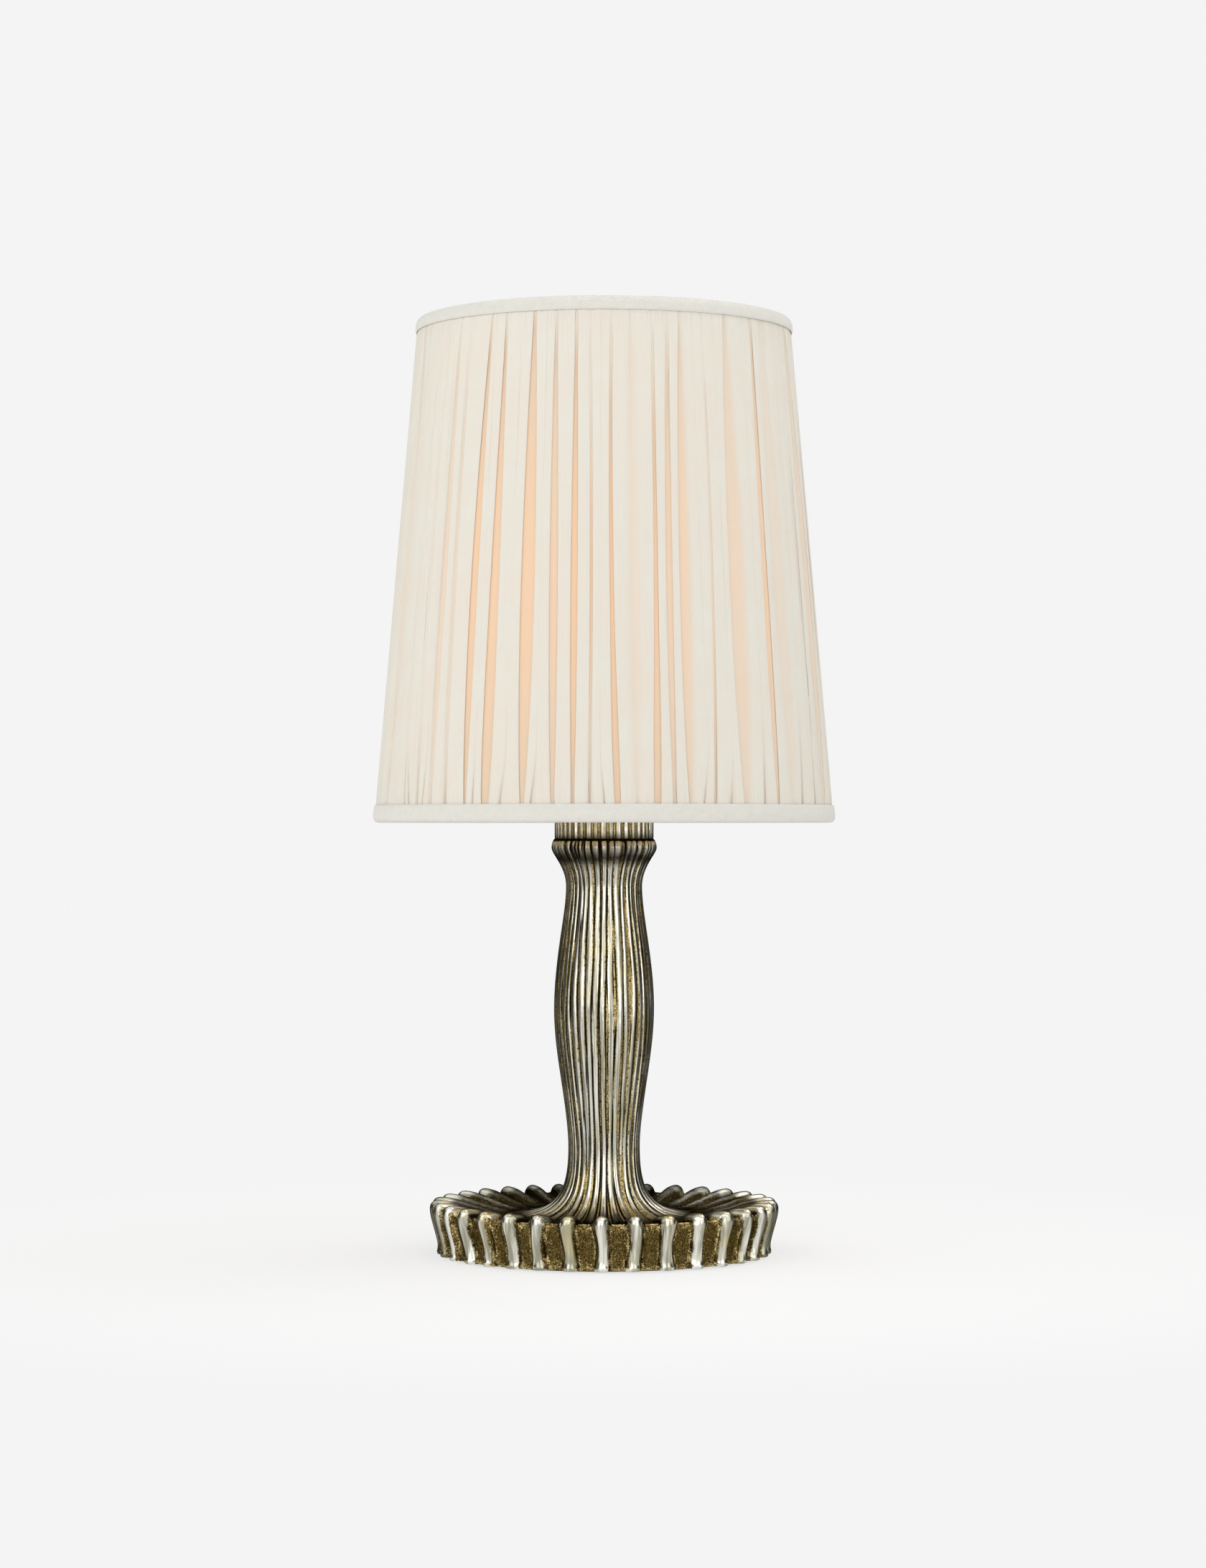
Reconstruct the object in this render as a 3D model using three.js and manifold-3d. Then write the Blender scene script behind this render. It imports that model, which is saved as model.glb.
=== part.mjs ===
import * as THREE from "three";
import { mergeVertices } from "three/addons/utils/BufferGeometryUtils.js";
import Module from "manifold-3d";

// A cordless table lamp. A ribbed dish and stem are cast in one piece, with a battery inside the stem and a
// charging board in the foot. Above them are a neck cup, a lampholder with a turn knob, a screw-in bulb, and a
// gathered cloth shade that a harp carries and a finial holds down.
// Millimetres, +Z up. The origin is the middle of the foot on the table, and the front is -Y.

const wasm = await Module();
wasm.setup();

// Driving dimensions

const seat = 0.3; // left between pieces that rest on or in each other

const ribCount = 33;
const neckRibCount = 40;
const ribUnevenness = 0.02; // how far a rib strays from even spacing, radians
const footHeight = 0.8; // the casting stops short of the table, on its felt
const footRadius = 67.4;
const rimRadius = 70.8;
const rimOuterHeight = 18.8;
const rimTopRadius = 67.3;
const rimTopHeight = 22.6;
const dishFloorRadius = 39;
const dishFloorHeight = 16.9;
const ankleRadius = 14.6;
const ankleHeight = 44;
const bellyRadius = 20.45;
const bellyHeight = 101;
const waistRadius = 15.6;
const waistHeight = 149.5;
const beadRadius = 21.4;
const beadHeight = 165.4;
const collarRadius = 19.9;
const collarHeight = 169.2;
const axisRibDepth = 0.75; // rib depth at the axis, growing outwards
const ribDepthGrowth = 0.036;
const axisRibWidth = 2.2; // width of an upright rib at the axis, growing outwards
const ribWidthGrowth = 0.04;
const lobeShare = 0.76; // share of its pitch that a rib lying on the dish fills
const ribShare = 0.94; // the most of its pitch that any rib fills

const neckHeight = 16.8;
const neckRadius = 20.1;
const neckWall = 3;
const neckRibDepth = 1.2;

const wellRadius = 61.3; // the hollow under the dish
const wellHeight = 11.5;
const stemBoreRadius = 11.2;
const stemBoreTop = 160;
const stemBoreChamfer = 3;
const screwCircle = 27;
const bossRadius = 4;
const screwRadius = 1.4;
const screwHeadRadius = 3;
const screwHeadHeight = 1.4;
const screwLength = 8.6;
const screwAngles = [-90, 30, 150].map(THREE.MathUtils.degToRad);

const feltThickness = 1.6;
const feltInner = 36;
const feltOuter = 59.4;
const plateThickness = 1.8;
const ballastThickness = 5.5;
const ballastInner = 33;
const ballastOuter = 59.4;

const boardWidth = 24;
const boardLength = 20;
const boardThickness = 1.6;
const boardPostHeight = 1.3;
const boardPostRadius = 2;
const portWidth = 9;
const portHeight = 3.2;
const portLength = 7.4;
const portWall = 0.4;
const portMouth = 64; // from the axis to the port's open end
const portOnBoard = 3; // length of the port that stands on the board

const packRadius = 9.2; // two battery cells end to end in one sleeve
const packRoom = 12.7; // left over the two cells, for the leads' slack
const packCrimp = 0.8;
const capRadius = 13;
const capFlangeRadius = 16;
const capFlangeThickness = 2;
const capRecess = 3;
const leadRadius = 0.6;
const leadSpacing = 1.5; // of each lead from the middle of their notch
const leadTrack = 10.1; // how far behind the axis the leads run

const nippleRadius = 4.9;
const nippleBore = 3.4;
const nippleDip = 5.8; // below the web that it holds
const nippleRise = 4; // inside the lampholder
const nutWidth = 14;
const nutHeight = 4.4;

const saddleThickness = 1.5;
const saddleWidth = 12;
const saddleReach = 27.5; // from the axis to the outside of an arm
const saddleBend = 5;
const saddleArm = 20.7;
const tongueWidth = 4.6;
const shoulderHeight = 10.5; // where an arm narrows to its tongue

const bulbCapRadius = 13;
const bulbCapHeight = 23;
const bulbPinRadius = 4.6;
const bulbPinHeight = 1;
const bulbCollarRadius = 21.2;
const bulbCollarHeight = 14;
const bulbCollarRecess = 1.2;
const globeRadius = 24;
const globeWall = 1;
const globeMouth = 18.6;
const ledBoardRadius = 15;
const ledBoardThickness = 1.4;
const ledCount = 4;
const ledSize = 3;

const socketWall = 0.7;
const linerWall = 0.8;
const socketCapHeight = 13;
const socketCapFoot = 8.6;
const socketOverlap = 4; // of the cap over the sleeve
const sleeveHeight = 36;
const sleeveBead = 0.7;
const coreHeight = 13;
const coreNeckRadius = 7.5;
const screwShellHeight = 23;
const contactRadius = 3;
const contactHeight = 1.2;
const knobRise = 17.1; // the knob's axis over the lampholder's foot
const knobRadius = 4.6;
const knobLength = 11;
const knobEdge = 0.7;
const knobFlutes = 10;
const shaftRadius = 1.6;
const shaftInside = 6; // length of the shaft inside the lampholder
const shaftOutside = 3;

const harpWire = 1.6;
const harpBow = 50; // half its width at the widest
const harpBowHeight = 78; // from the foot to the widest
const harpHeight = 161;
const harpFootLength = 28;
const studSeatRadius = 8;
const studSeatThickness = 1.7;
const studRadius = 3;
const studLength = 10;
const ferruleInner = 3.4;
const ferruleWall = 1;
const ferruleHeight = 12;
const ferruleCentre = 27.95;

const shadeHeight = 204;
const shadeRise = 17.2; // of the shade's top over the hub that carries it
const shadeBottomRadius = 93.4; // the cloth's cone, along the tops of its folds
const shadeTopRadius = 75.6;
const clothThickness = 1.7; // folds and all
const foldDepth = 1.2;
const foldCount = 48;
const foldUnevenness = 0.18; // share of its pitch that a fold's edge strays
const foldGather = 10; // height over which the folds draw in to a band
const tuckDepth = 0.8; // how far the cloth draws in under a band
const tuckedFold = 0.3; // share of the fold's depth that is left there
const liningWall = 0.5;
const ringWire = 1.1;
const bandWall = 0.6;
const bandProud = 0.5;
const bottomBandHeight = 7;
const topBandHeight = 5.5;
const hubRadius = 14;
const hubThickness = 1.6;
const armCount = 3;
const armWire = 1.1;
const shadeSegments = 36; // facets round the shade and the foot, shared so that they nest
const socketSegments = 20; // round the lampholder's nested shells

const finialRadius = 7.6;
const finialHeight = 22;
const finialHole = 8.4;

// What follows from them

const plateBottom = feltThickness + seat;
const plateTop = plateBottom + plateThickness;
const plateRadius = wellRadius - seat;
const capBottom = plateTop + seat;
const capTop = wellHeight - seat;
const packBottom = capTop - capRecess + seat;
const boardBottom = plateTop + boardPostHeight + seat;
const boardTop = boardBottom + boardThickness;
const boardMiddle = portMouth - portLength + portOnBoard - boardLength / 2;
const boardEdge = boardMiddle - boardLength / 2;
const portMiddle = boardTop + seat + portHeight / 2;
const neckBottom = collarHeight + seat;
const saddleBottom = neckBottom + neckHeight + seat;
const socketBottom = saddleBottom + saddleThickness + seat;
const nippleHole = nippleRadius + seat;
const nippleBottom = stemBoreTop - nippleDip;
const packTop = nippleBottom - packRoom;
const packLength = packTop - packBottom;
const knobHeight = socketBottom + knobRise;
const nippleTop = socketBottom + nippleRise;
const screwShellInner = bulbCapRadius + seat;
const screwShellOuter = screwShellInner + linerWall;
const linerInner = screwShellOuter + seat;
const linerOuter = linerInner + linerWall;
const sleeveInner = linerOuter + seat;
const sleeveOuter = sleeveInner + socketWall;
const socketCapInner = sleeveOuter + seat;
const socketCapRadius = socketCapInner + socketWall;
const sleeveBottom = socketBottom + socketCapHeight - socketOverlap;
const coreTop = sleeveBottom + coreHeight;
const screwShellBottom = coreTop + seat;
const bulbBottom = screwShellBottom + contactHeight + seat;
const bulbCollarBottom = bulbBottom + bulbCapHeight + seat;
const globeSeat = bulbCollarBottom + bulbCollarHeight - bulbCollarRecess + seat;
const globeMouthAngle = Math.asin(globeMouth / (globeRadius - globeWall));
const globeLift = globeRadius * Math.cos(globeMouthAngle);
const harpBottom = saddleBottom + shoulderHeight + seat;
const harpFoot = saddleReach + seat + harpWire;
const studBottom = harpBottom + harpHeight + harpWire + seat;
const hubBottom = studBottom + studSeatThickness + seat;
const hubTop = hubBottom + hubThickness;
const studHole = studRadius + seat;
const shadeTop = hubBottom + shadeRise;
const shadeBottom = shadeTop - shadeHeight;
const shadeSlope = (shadeTopRadius - shadeBottomRadius) / shadeHeight;
const clothEdge = bandWall + seat; // the cloth's edges, inside the bands
const ringInset = clothThickness + seat + liningWall + seat + ringWire;
const topRingHeight = shadeTop - clothEdge - ringWire;
const bottomRingHeight = shadeBottom + clothEdge + ringWire;

/** The cloth cone's radius at a height above the table. */
const coneAt = (height) => shadeBottomRadius + shadeSlope * (height - shadeBottom);
const topRingRadius = coneAt(topRingHeight) - ringInset;
const bottomRingRadius = coneAt(bottomRingHeight) - ringInset;

// Solids

/** A closed geometry as a manifold solid. */
function solidOf(geometry) {
  const bare = geometry.clone();
  bare.deleteAttribute("normal");
  bare.deleteAttribute("uv");
  const merged = mergeVertices(bare, 1e-4);
  const mesh = new wasm.Mesh({
    numProp: 3,
    vertProperties: new Float32Array(merged.attributes.position.array),
    triVerts: new Uint32Array(merged.index.array),
  });
  return new wasm.Manifold(mesh);
}

/** A manifold solid as a geometry. */
function geometryOf(solid) {
  const mesh = solid.getMesh();
  const geometry = new THREE.BufferGeometry();
  geometry.setAttribute("position", new THREE.BufferAttribute(mesh.vertProperties, 3));
  geometry.setIndex(new THREE.BufferAttribute(mesh.triVerts, 1));
  geometry.computeVertexNormals();
  return geometry;
}

function cut(body, ...tools) {
  return geometryOf(tools.map(solidOf).reduce((left, tool) => left.subtract(tool), solidOf(body)));
}

function join(...bodies) {
  return geometryOf(bodies.map(solidOf).reduce((whole, body) => whole.add(body)));
}

/** A solid turned about Z from an outline of [radius, height] pairs, which runs up its outside. */
function turned(outline, segments) {
  const points = outline.map(([radius, height]) => new THREE.Vector2(radius, height));
  return new THREE.LatheGeometry(points, segments).rotateX(Math.PI / 2);
}

/** A turned ring, from an outline that doesn't reach the axis. */
function turnedRing(outline, segments) {
  return turned([...outline, outline[0]], segments);
}

function disc(outer, bottom, top, segments) {
  const outline = [
    [0, bottom],
    [outer, bottom],
    [outer, top],
    [0, top],
  ];
  return turned(outline, segments);
}

function ring(inner, outer, bottom, top, segments) {
  const outline = [
    [inner, bottom],
    [outer, bottom],
    [outer, top],
    [inner, top],
  ];
  return turnedRing(outline, segments);
}

/** A box of a width along X and a length along Y that stands on its own origin. */
function block(width, length, height) {
  return new THREE.BoxGeometry(width, length, height).translate(0, 0, height / 2);
}

/** A round wire along a curve, with an even number of sides. */
function wire(curve, radius, steps, sides) {
  const section = new THREE.Shape().absarc(0, 0, radius, 0, 2 * Math.PI);
  return new THREE.ExtrudeGeometry(section, { extrudePath: curve, steps, curveSegments: sides / 2 });
}

function curveThrough(points) {
  const corners = points.map((point) => new THREE.Vector3(...point));
  return new THREE.CatmullRomCurve3(corners, false, "centripetal");
}

const along = (angle, radius, height) => [radius * Math.cos(angle), radius * Math.sin(angle), height];

// Ribbed castings

/** The middle of each rib round the axis. They crowd and spread in three slow waves, with small slips between. */
function ribAngles(count) {
  return Array.from({ length: count }, (_, rib) => {
    const even = (2 * Math.PI * rib) / count;
    const stray = Math.sin(3 * even - 0.8) + 0.25 * Math.sin(5.3 * rib);
    return even - Math.PI / 2 + ribUnevenness * stray;
  });
}

/** Points down curves of a ribbed outline, each with the outline's outward direction. */
function stationsAlong(...stretches) {
  const stations = stretches.flatMap(([curve, steps], index) => {
    const first = index ? 1 : 0;
    return Array.from({ length: steps + 1 - first }, (_, step) => {
      const point = curve.getPoint((step + first) / steps);
      const tangent = curve.getTangent((step + first) / steps);
      return { radius: point.x, height: point.y, outward: new THREE.Vector2(-tangent.y, tangent.x) };
    });
  });
  for (const end of [stations.at(0), stations.at(-1)]) end.outward.set(1, 0); // keeps the ends flat
  return stations;
}

/** How wide a rib is: slim where it stands upright, and a broad lobe where it lies on the dish. */
function ribWidth({ radius, outward }) {
  const upright = axisRibWidth + ribWidthGrowth * radius;
  const lying = (lobeShare * 2 * Math.PI * radius) / ribCount;
  return THREE.MathUtils.lerp(upright, lying, Math.max(outward.y, 0));
}

/**
 * A solid with ribs round the axis, from stations that run down its outside. The ribs' tops follow the outline,
 * and the valleys between them lie a rib's depth inside it.
 */
function ribbed(stations, count, depthAt) {
  const angles = ribAngles(count);
  const positions = [];
  for (const station of stations) {
    const { radius, height, outward } = station;
    const halfAngle = ribWidth(station) / 2 / radius;
    angles.forEach((middle, rib) => {
      const before = angles.at(rib - 1) - (rib ? 0 : 2 * Math.PI);
      const after = angles[(rib + 1) % count] + (rib === count - 1 ? 2 * Math.PI : 0);
      const left = Math.min(halfAngle, (ribShare * (middle - before)) / 2);
      const right = Math.min(halfAngle, (ribShare * (after - middle)) / 2);
      const corners = [
        [middle - left, depthAt(radius)],
        [middle - 0.45 * left, 0],
        [middle + 0.45 * right, 0],
        [middle + right, depthAt(radius)],
      ];
      for (const [angle, inset] of corners) {
        positions.push(...along(angle, radius - inset * outward.x, height - inset * outward.y));
      }
    });
  }
  const ringSize = 4 * count;
  const lastRing = (stations.length - 1) * ringSize;
  const top = positions.length / 3;
  const bottom = top + 1;
  positions.push(0, 0, stations.at(0).height, 0, 0, stations.at(-1).height);
  const indices = [];
  for (let side = 0; side < ringSize; side++) {
    const next = (side + 1) % ringSize;
    for (let ring = 0; ring < lastRing; ring += ringSize) {
      const below = ring + ringSize;
      indices.push(ring + side, below + side, ring + next, ring + next, below + side, below + next);
    }
    indices.push(top, side, next, bottom, lastRing + next, lastRing + side);
  }
  const geometry = new THREE.BufferGeometry();
  geometry.setAttribute("position", new THREE.Float32BufferAttribute(positions, 3));
  geometry.setIndex(indices);
  return geometry;
}

/** A smooth stretch of outline between two [radius, height] ends, pulled towards two handles. */
function bend(start, startHandle, endHandle, end) {
  const points = [start, startHandle, endHandle, end].map((point) => new THREE.Vector2(...point));
  return new THREE.CubicBezierCurve(...points);
}

const moved = ([radius, height], outwards, upwards) => [radius + outwards, height + upwards];

/** The ribs' tops on the casting, from the collar down the stem and over the dish and its rim to the foot. */
function castingOutline() {
  const collar = [collarRadius, collarHeight];
  const bead = [beadRadius, beadHeight];
  const waist = [waistRadius, waistHeight];
  const belly = [bellyRadius, bellyHeight];
  const ankle = [ankleRadius, ankleHeight];
  const floor = [dishFloorRadius, dishFloorHeight];
  const rimTop = [rimTopRadius, rimTopHeight];
  const rim = [rimRadius, rimOuterHeight];
  const foot = [footRadius, footHeight];
  const beadFall = beadHeight - waistHeight;
  const waistFall = waistHeight - bellyHeight;
  const bellyFall = bellyHeight - ankleHeight;
  const ankleFall = ankleHeight - dishFloorHeight;
  const flareReach = dishFloorRadius - ankleRadius;
  const floorReach = rimTopRadius - dishFloorRadius;
  const rimFall = rimTopHeight - rimOuterHeight;
  const wallFall = rimOuterHeight - footHeight;
  return stationsAlong(
    [bend(collar, moved(collar, 0.8, -0.2), moved(bead, 0, 1.8), bead), 1],
    [bend(bead, moved(bead, 0, -0.19 * beadFall), moved(waist, 0, 0.5 * beadFall), waist), 3],
    [bend(waist, moved(waist, 0, -0.26 * waistFall), moved(belly, 0, 0.41 * waistFall), belly), 2],
    [bend(belly, moved(belly, 0, -0.37 * bellyFall), moved(ankle, 0, 0.26 * bellyFall), ankle), 3],
    [bend(ankle, moved(ankle, 0, -0.74 * ankleFall), moved(floor, -0.78 * flareReach, 0), floor), 4],
    [bend(floor, moved(floor, 0.39 * floorReach, 0), moved(rimTop, -0.33 * floorReach, 0), rimTop), 2],
    [bend(rimTop, moved(rimTop, 2.3, 0), moved(rim, 0, 0.58 * rimFall), rim), 2],
    [bend(rim, moved(rim, 0, -0.32 * wallFall), moved(foot, 0, 0.45 * wallFall), foot), 2],
  );
}

/** The dish and stem, cast as one hollow piece whose ribs run from the collar to the foot. */
function dishAndStem() {
  const outside = ribbed(castingOutline(), ribCount, (radius) => axisRibDepth + ribDepthGrowth * radius);
  const well = disc(wellRadius, footHeight - 1, wellHeight, shadeSegments);
  const bore = turned(
    [
      [0, footHeight],
      [stemBoreRadius + stemBoreChamfer, footHeight],
      [stemBoreRadius + stemBoreChamfer, wellHeight],
      [stemBoreRadius, wellHeight + stemBoreChamfer],
      [stemBoreRadius, stemBoreTop],
      [nippleHole, stemBoreTop],
      [nippleHole, collarHeight + 1],
      [0, collarHeight + 1],
    ],
    socketSegments,
  );
  const bosses = screwAngles.map((angle) => {
    const boss = ring(screwRadius + seat, bossRadius, plateTop + seat, wellHeight + 1, 12);
    return boss.translate(...along(angle, screwCircle, 0));
  });
  const slot = slottedBar(portWidth + 2 * seat, 20, portHeight + 2 * seat);
  return cut(join(cut(outside, well, bore), ...bosses), slot.translate(0, portMouth, portMiddle));
}

/** The ribbed cup on top of the stem, open below. */
function neckCup() {
  const side = new THREE.LineCurve(new THREE.Vector2(neckRadius, neckHeight), new THREE.Vector2(neckRadius, 0));
  const hollow = turned(
    [
      [0, -1],
      [neckRadius - neckRibDepth - neckWall, -1],
      [neckRadius - neckRibDepth - neckWall, neckHeight - neckWall],
      [nippleHole, neckHeight - neckWall],
      [nippleHole, neckHeight + 1],
      [0, neckHeight + 1],
    ],
    socketSegments,
  );
  return cut(ribbed(stationsAlong([side, 1]), neckRibCount, () => neckRibDepth), hollow);
}

// The foot

/** The steel plate that closes the foot, with countersunk holes and two pressed posts under the board. */
function basePlate() {
  const posts = [-1, 1].map((side) => {
    const post = disc(boardPostRadius, plateThickness / 2, plateThickness + boardPostHeight, 8);
    return post.translate((side * boardWidth) / 4, boardMiddle, 0);
  });
  const hole = turned(
    [
      [0, -0.01],
      [screwHeadRadius + seat, -0.01],
      [screwRadius + seat, screwHeadHeight],
      [screwRadius + seat, plateThickness + 1],
      [0, plateThickness + 1],
    ],
    12,
  );
  const holes = screwAngles.map((angle) => hole.clone().translate(...along(angle, screwCircle, 0)));
  return cut(join(disc(plateRadius, 0, plateThickness, shadeSegments), ...posts), ...holes);
}

function countersunkScrew() {
  return turned(
    [
      [0, 0],
      [screwHeadRadius, 0],
      [screwRadius, screwHeadHeight],
      [screwRadius, screwLength],
      [0, screwLength],
    ],
    12,
  );
}

/** The iron ring that keeps the lamp upright, open at the back for the board and the leads. */
function ballastRing() {
  const room = 2;
  const notch = block(boardWidth + 2 * room, ballastOuter, 2 * ballastThickness);
  notch.translate(0, ballastOuter / 2 + ballastInner / 2, -ballastThickness / 2);
  return cut(ring(ballastInner, ballastOuter, 0, ballastThickness, shadeSegments), notch);
}

/** The charging board, with its chips. */
function controlBoard() {
  const board = block(boardWidth, boardLength, boardThickness);
  const chips = [
    [6, 6, -7, 1],
    [4, 5, 6, -1],
    [3, 3, 8, 6],
  ].map(([width, length, x, y]) => block(width, length, boardThickness + 1.2).translate(x, y, 0));
  return join(board, ...chips);
}

/** A bar along Y whose section is a slot with round ends, centred on the origin. */
function slottedBar(width, length, height) {
  const radius = height / 2;
  const section = new THREE.Shape();
  section.absarc(width / 2 - radius, 0, radius, -Math.PI / 2, Math.PI / 2);
  section.absarc(radius - width / 2, 0, radius, Math.PI / 2, (3 * Math.PI) / 2);
  const bar = new THREE.ExtrudeGeometry(section, { depth: length, bevelEnabled: false, curveSegments: 4 });
  return bar.translate(0, 0, -length / 2).rotateX(Math.PI / 2);
}

/** The charging port: a shell open at the back, with its tongue. */
function chargingPort() {
  const inside = slottedBar(portWidth - 2 * portWall, portLength, portHeight - 2 * portWall);
  const tongue = new THREE.BoxGeometry(portWidth - 3, portLength - 1.5, 0.8);
  return join(cut(slottedBar(portWidth, portLength, portHeight), inside.translate(0, 1.2, 0)), tongue);
}

// The battery

function batteryPack() {
  return turned(
    [
      [0, 0],
      [packRadius - packCrimp, 0],
      [packRadius, packCrimp],
      [packRadius, packLength - packCrimp],
      [packRadius - packCrimp, packLength],
      [0, packLength],
    ],
    socketSegments,
  );
}

/** The cup under the battery, held between the base plate and the casting, with a notch for the leads. */
function batteryCap() {
  const height = capTop - capBottom;
  const cup = turned(
    [
      [0, 0],
      [capRadius, 0],
      [capRadius, height - capFlangeThickness],
      [capFlangeRadius, height - capFlangeThickness],
      [capFlangeRadius, height],
      [packRadius + seat, height],
      [packRadius + seat, height - capRecess],
      [0, height - capRecess],
    ],
    socketSegments,
  );
  const notch = block(2 * leadSpacing + 4 * leadRadius, capFlangeRadius, capRecess + 1);
  return cut(cup, notch.translate(0, packRadius + capFlangeRadius / 2, height - capRecess));
}

/** The lead from the board, up the stem behind the battery and through the nipple to the lampholder. */
function stemLead() {
  const route = curveThrough([
    [leadSpacing, boardEdge + 2, boardTop + seat + leadRadius],
    [leadSpacing, boardEdge - 3, boardTop + seat + leadRadius],
    [leadSpacing, 2 * leadTrack, capTop - 1.2],
    [leadSpacing, leadTrack + 2, capTop - 0.9],
    [leadSpacing, leadTrack, capTop + 3],
    [leadSpacing, leadTrack, capTop + 7],
    [leadSpacing, leadTrack, packTop - 5],
    [leadSpacing, leadTrack, packTop - 1],
    [0.4 * leadSpacing, 0.4 * leadTrack, packTop + 6],
    [0, 0, nippleBottom + 2],
    [0, 0, nippleTop],
  ]);
  return wire(route, leadRadius, 40, 6);
}

/** The short lead from the battery's sleeve to the board. */
function batteryLead() {
  const route = curveThrough([
    [-leadSpacing, leadTrack, packBottom + 9],
    [-leadSpacing, leadTrack, packBottom + 6],
    [-leadSpacing, leadTrack + 2, capTop - 0.9],
    [-leadSpacing, 2 * leadTrack, capTop - 1.2],
    [-leadSpacing, boardEdge - 3, boardTop + seat + leadRadius],
    [-leadSpacing, boardEdge + 2, boardTop + seat + leadRadius],
  ]);
  return wire(route, leadRadius, 12, 6);
}

// What the lampholder stands on

/** The threaded tube that draws the stem, neck cup, saddle and lampholder together. */
function nipple() {
  return ring(nippleBore, nippleRadius, 0, nippleTop - nippleBottom, 16);
}

function nippleNut() {
  const toCorner = 1 / Math.cos(Math.PI / 6);
  return ring(nippleHole * toCorner, (nutWidth / 2) * toCorner, 0, nutHeight, 6);
}

/** The strip that holds the harp's feet: flat on the neck, with an arm bent up at each end. */
function harpSaddle() {
  const inner = saddleReach - saddleThickness;
  const outerBend = saddleBend + saddleThickness;
  const bendCentre = inner - saddleBend;
  const section = new THREE.Shape();
  section.moveTo(-saddleReach, saddleArm);
  section.absarc(-bendCentre, outerBend, outerBend, Math.PI, 1.5 * Math.PI);
  section.absarc(bendCentre, outerBend, outerBend, 1.5 * Math.PI, 2 * Math.PI);
  section.lineTo(saddleReach, saddleArm);
  section.lineTo(inner, saddleArm);
  section.absarc(bendCentre, outerBend, saddleBend, 0, -Math.PI / 2, true);
  section.absarc(-bendCentre, outerBend, saddleBend, -Math.PI / 2, -Math.PI, true);
  section.lineTo(-inner, saddleArm);
  const options = { depth: saddleWidth, bevelEnabled: false, curveSegments: 4 };
  const strip = new THREE.ExtrudeGeometry(section, options);
  strip.translate(0, 0, -saddleWidth / 2).rotateX(Math.PI / 2);
  const besideTongues = [-1, 1].map((side) => {
    const waste = block(3 * saddleReach, saddleWidth, saddleArm);
    return waste.translate(0, (side * (saddleWidth + tongueWidth)) / 2, shoulderHeight);
  });
  return cut(strip, disc(nippleHole, -1, saddleThickness + 1, 16), ...besideTongues);
}

// The lampholder

function socketCap() {
  const slope = 2.4;
  const mouth = socketCapHeight - socketOverlap - 1;
  return turnedRing(
    [
      [nippleHole, 0],
      [socketCapFoot, 0],
      [socketCapFoot + slope, slope - socketWall],
      [socketCapRadius, mouth],
      [socketCapRadius, socketCapHeight],
      [socketCapInner, socketCapHeight],
      [socketCapInner, mouth],
      [socketCapFoot + slope - socketWall, slope],
      [socketCapFoot - socketWall, socketWall],
      [nippleHole, socketWall],
    ],
    socketSegments,
  );
}

/** The way of the knob's shaft into the lampholder, seen from the bottom of the sleeve. */
function shaftWay() {
  const way = disc(shaftRadius + seat, 0, sleeveOuter, 10);
  return way.rotateX(Math.PI / 2).translate(0, shaftInside + 1 - sleeveOuter, knobHeight - sleeveBottom);
}

/** The brass sleeve, with a rolled bead near its mouth and a hole for the knob's shaft. */
function socketSleeve() {
  const beadMiddle = sleeveHeight - 5.5;
  const sleeve = turnedRing(
    [
      [sleeveInner, 0],
      [sleeveOuter, 0],
      [sleeveOuter, beadMiddle - 2 * sleeveBead],
      [sleeveOuter + sleeveBead, beadMiddle],
      [sleeveOuter, beadMiddle + 2 * sleeveBead],
      [sleeveOuter, sleeveHeight],
      [sleeveInner, sleeveHeight],
    ],
    socketSegments,
  );
  return cut(sleeve, shaftWay());
}

/** A plain tube inside the sleeve, such as the insulating liner or the shell that takes the bulb's screw. */
function tube(inner, wall, height) {
  return ring(inner, inner + wall, 0, height, socketSegments);
}

/** The insulating core with the dimmer in it, standing on the nipple. */
function socketCore() {
  const foot = nippleTop + seat - sleeveBottom;
  const core = turned(
    [
      [0, foot],
      [coreNeckRadius, foot],
      [coreNeckRadius, 1],
      [linerOuter, 1],
      [linerOuter, coreHeight],
      [0, coreHeight],
    ],
    socketSegments,
  );
  return cut(core, shaftWay());
}

/** The turn knob on its shaft, which points along +Z from the origin. */
function dimmerKnob() {
  const shaftLength = shaftInside + shaftOutside;
  const outline = new THREE.Shape();
  for (let point = 0; point < 2 * knobFlutes; point++) {
    const radius = knobRadius - (point % 2 ? knobEdge : 0);
    const angle = (Math.PI * point) / knobFlutes;
    const corner = [radius * Math.cos(angle), radius * Math.sin(angle)];
    if (point) outline.lineTo(...corner);
    else outline.moveTo(...corner);
  }
  const grip = new THREE.ExtrudeGeometry(outline, {
    depth: knobLength - 2 * knobEdge,
    bevelThickness: knobEdge,
    bevelSize: knobEdge,
    bevelOffset: -knobEdge,
    bevelSegments: 1,
  });
  return join(disc(shaftRadius, 0, shaftLength + 1, 10), grip.translate(0, 0, shaftLength + knobEdge));
}

// The bulb

/** The bulb's metal screw cap, with the pin at its end. */
function bulbCap() {
  return turned(
    [
      [0, 0],
      [bulbPinRadius, 0],
      [bulbPinRadius, bulbPinHeight],
      [bulbCapRadius - 1.5, 2.6 * bulbPinHeight],
      [bulbCapRadius, 4 * bulbPinHeight],
      [bulbCapRadius, bulbCapHeight],
      [0, bulbCapHeight],
    ],
    socketSegments,
  );
}

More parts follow.
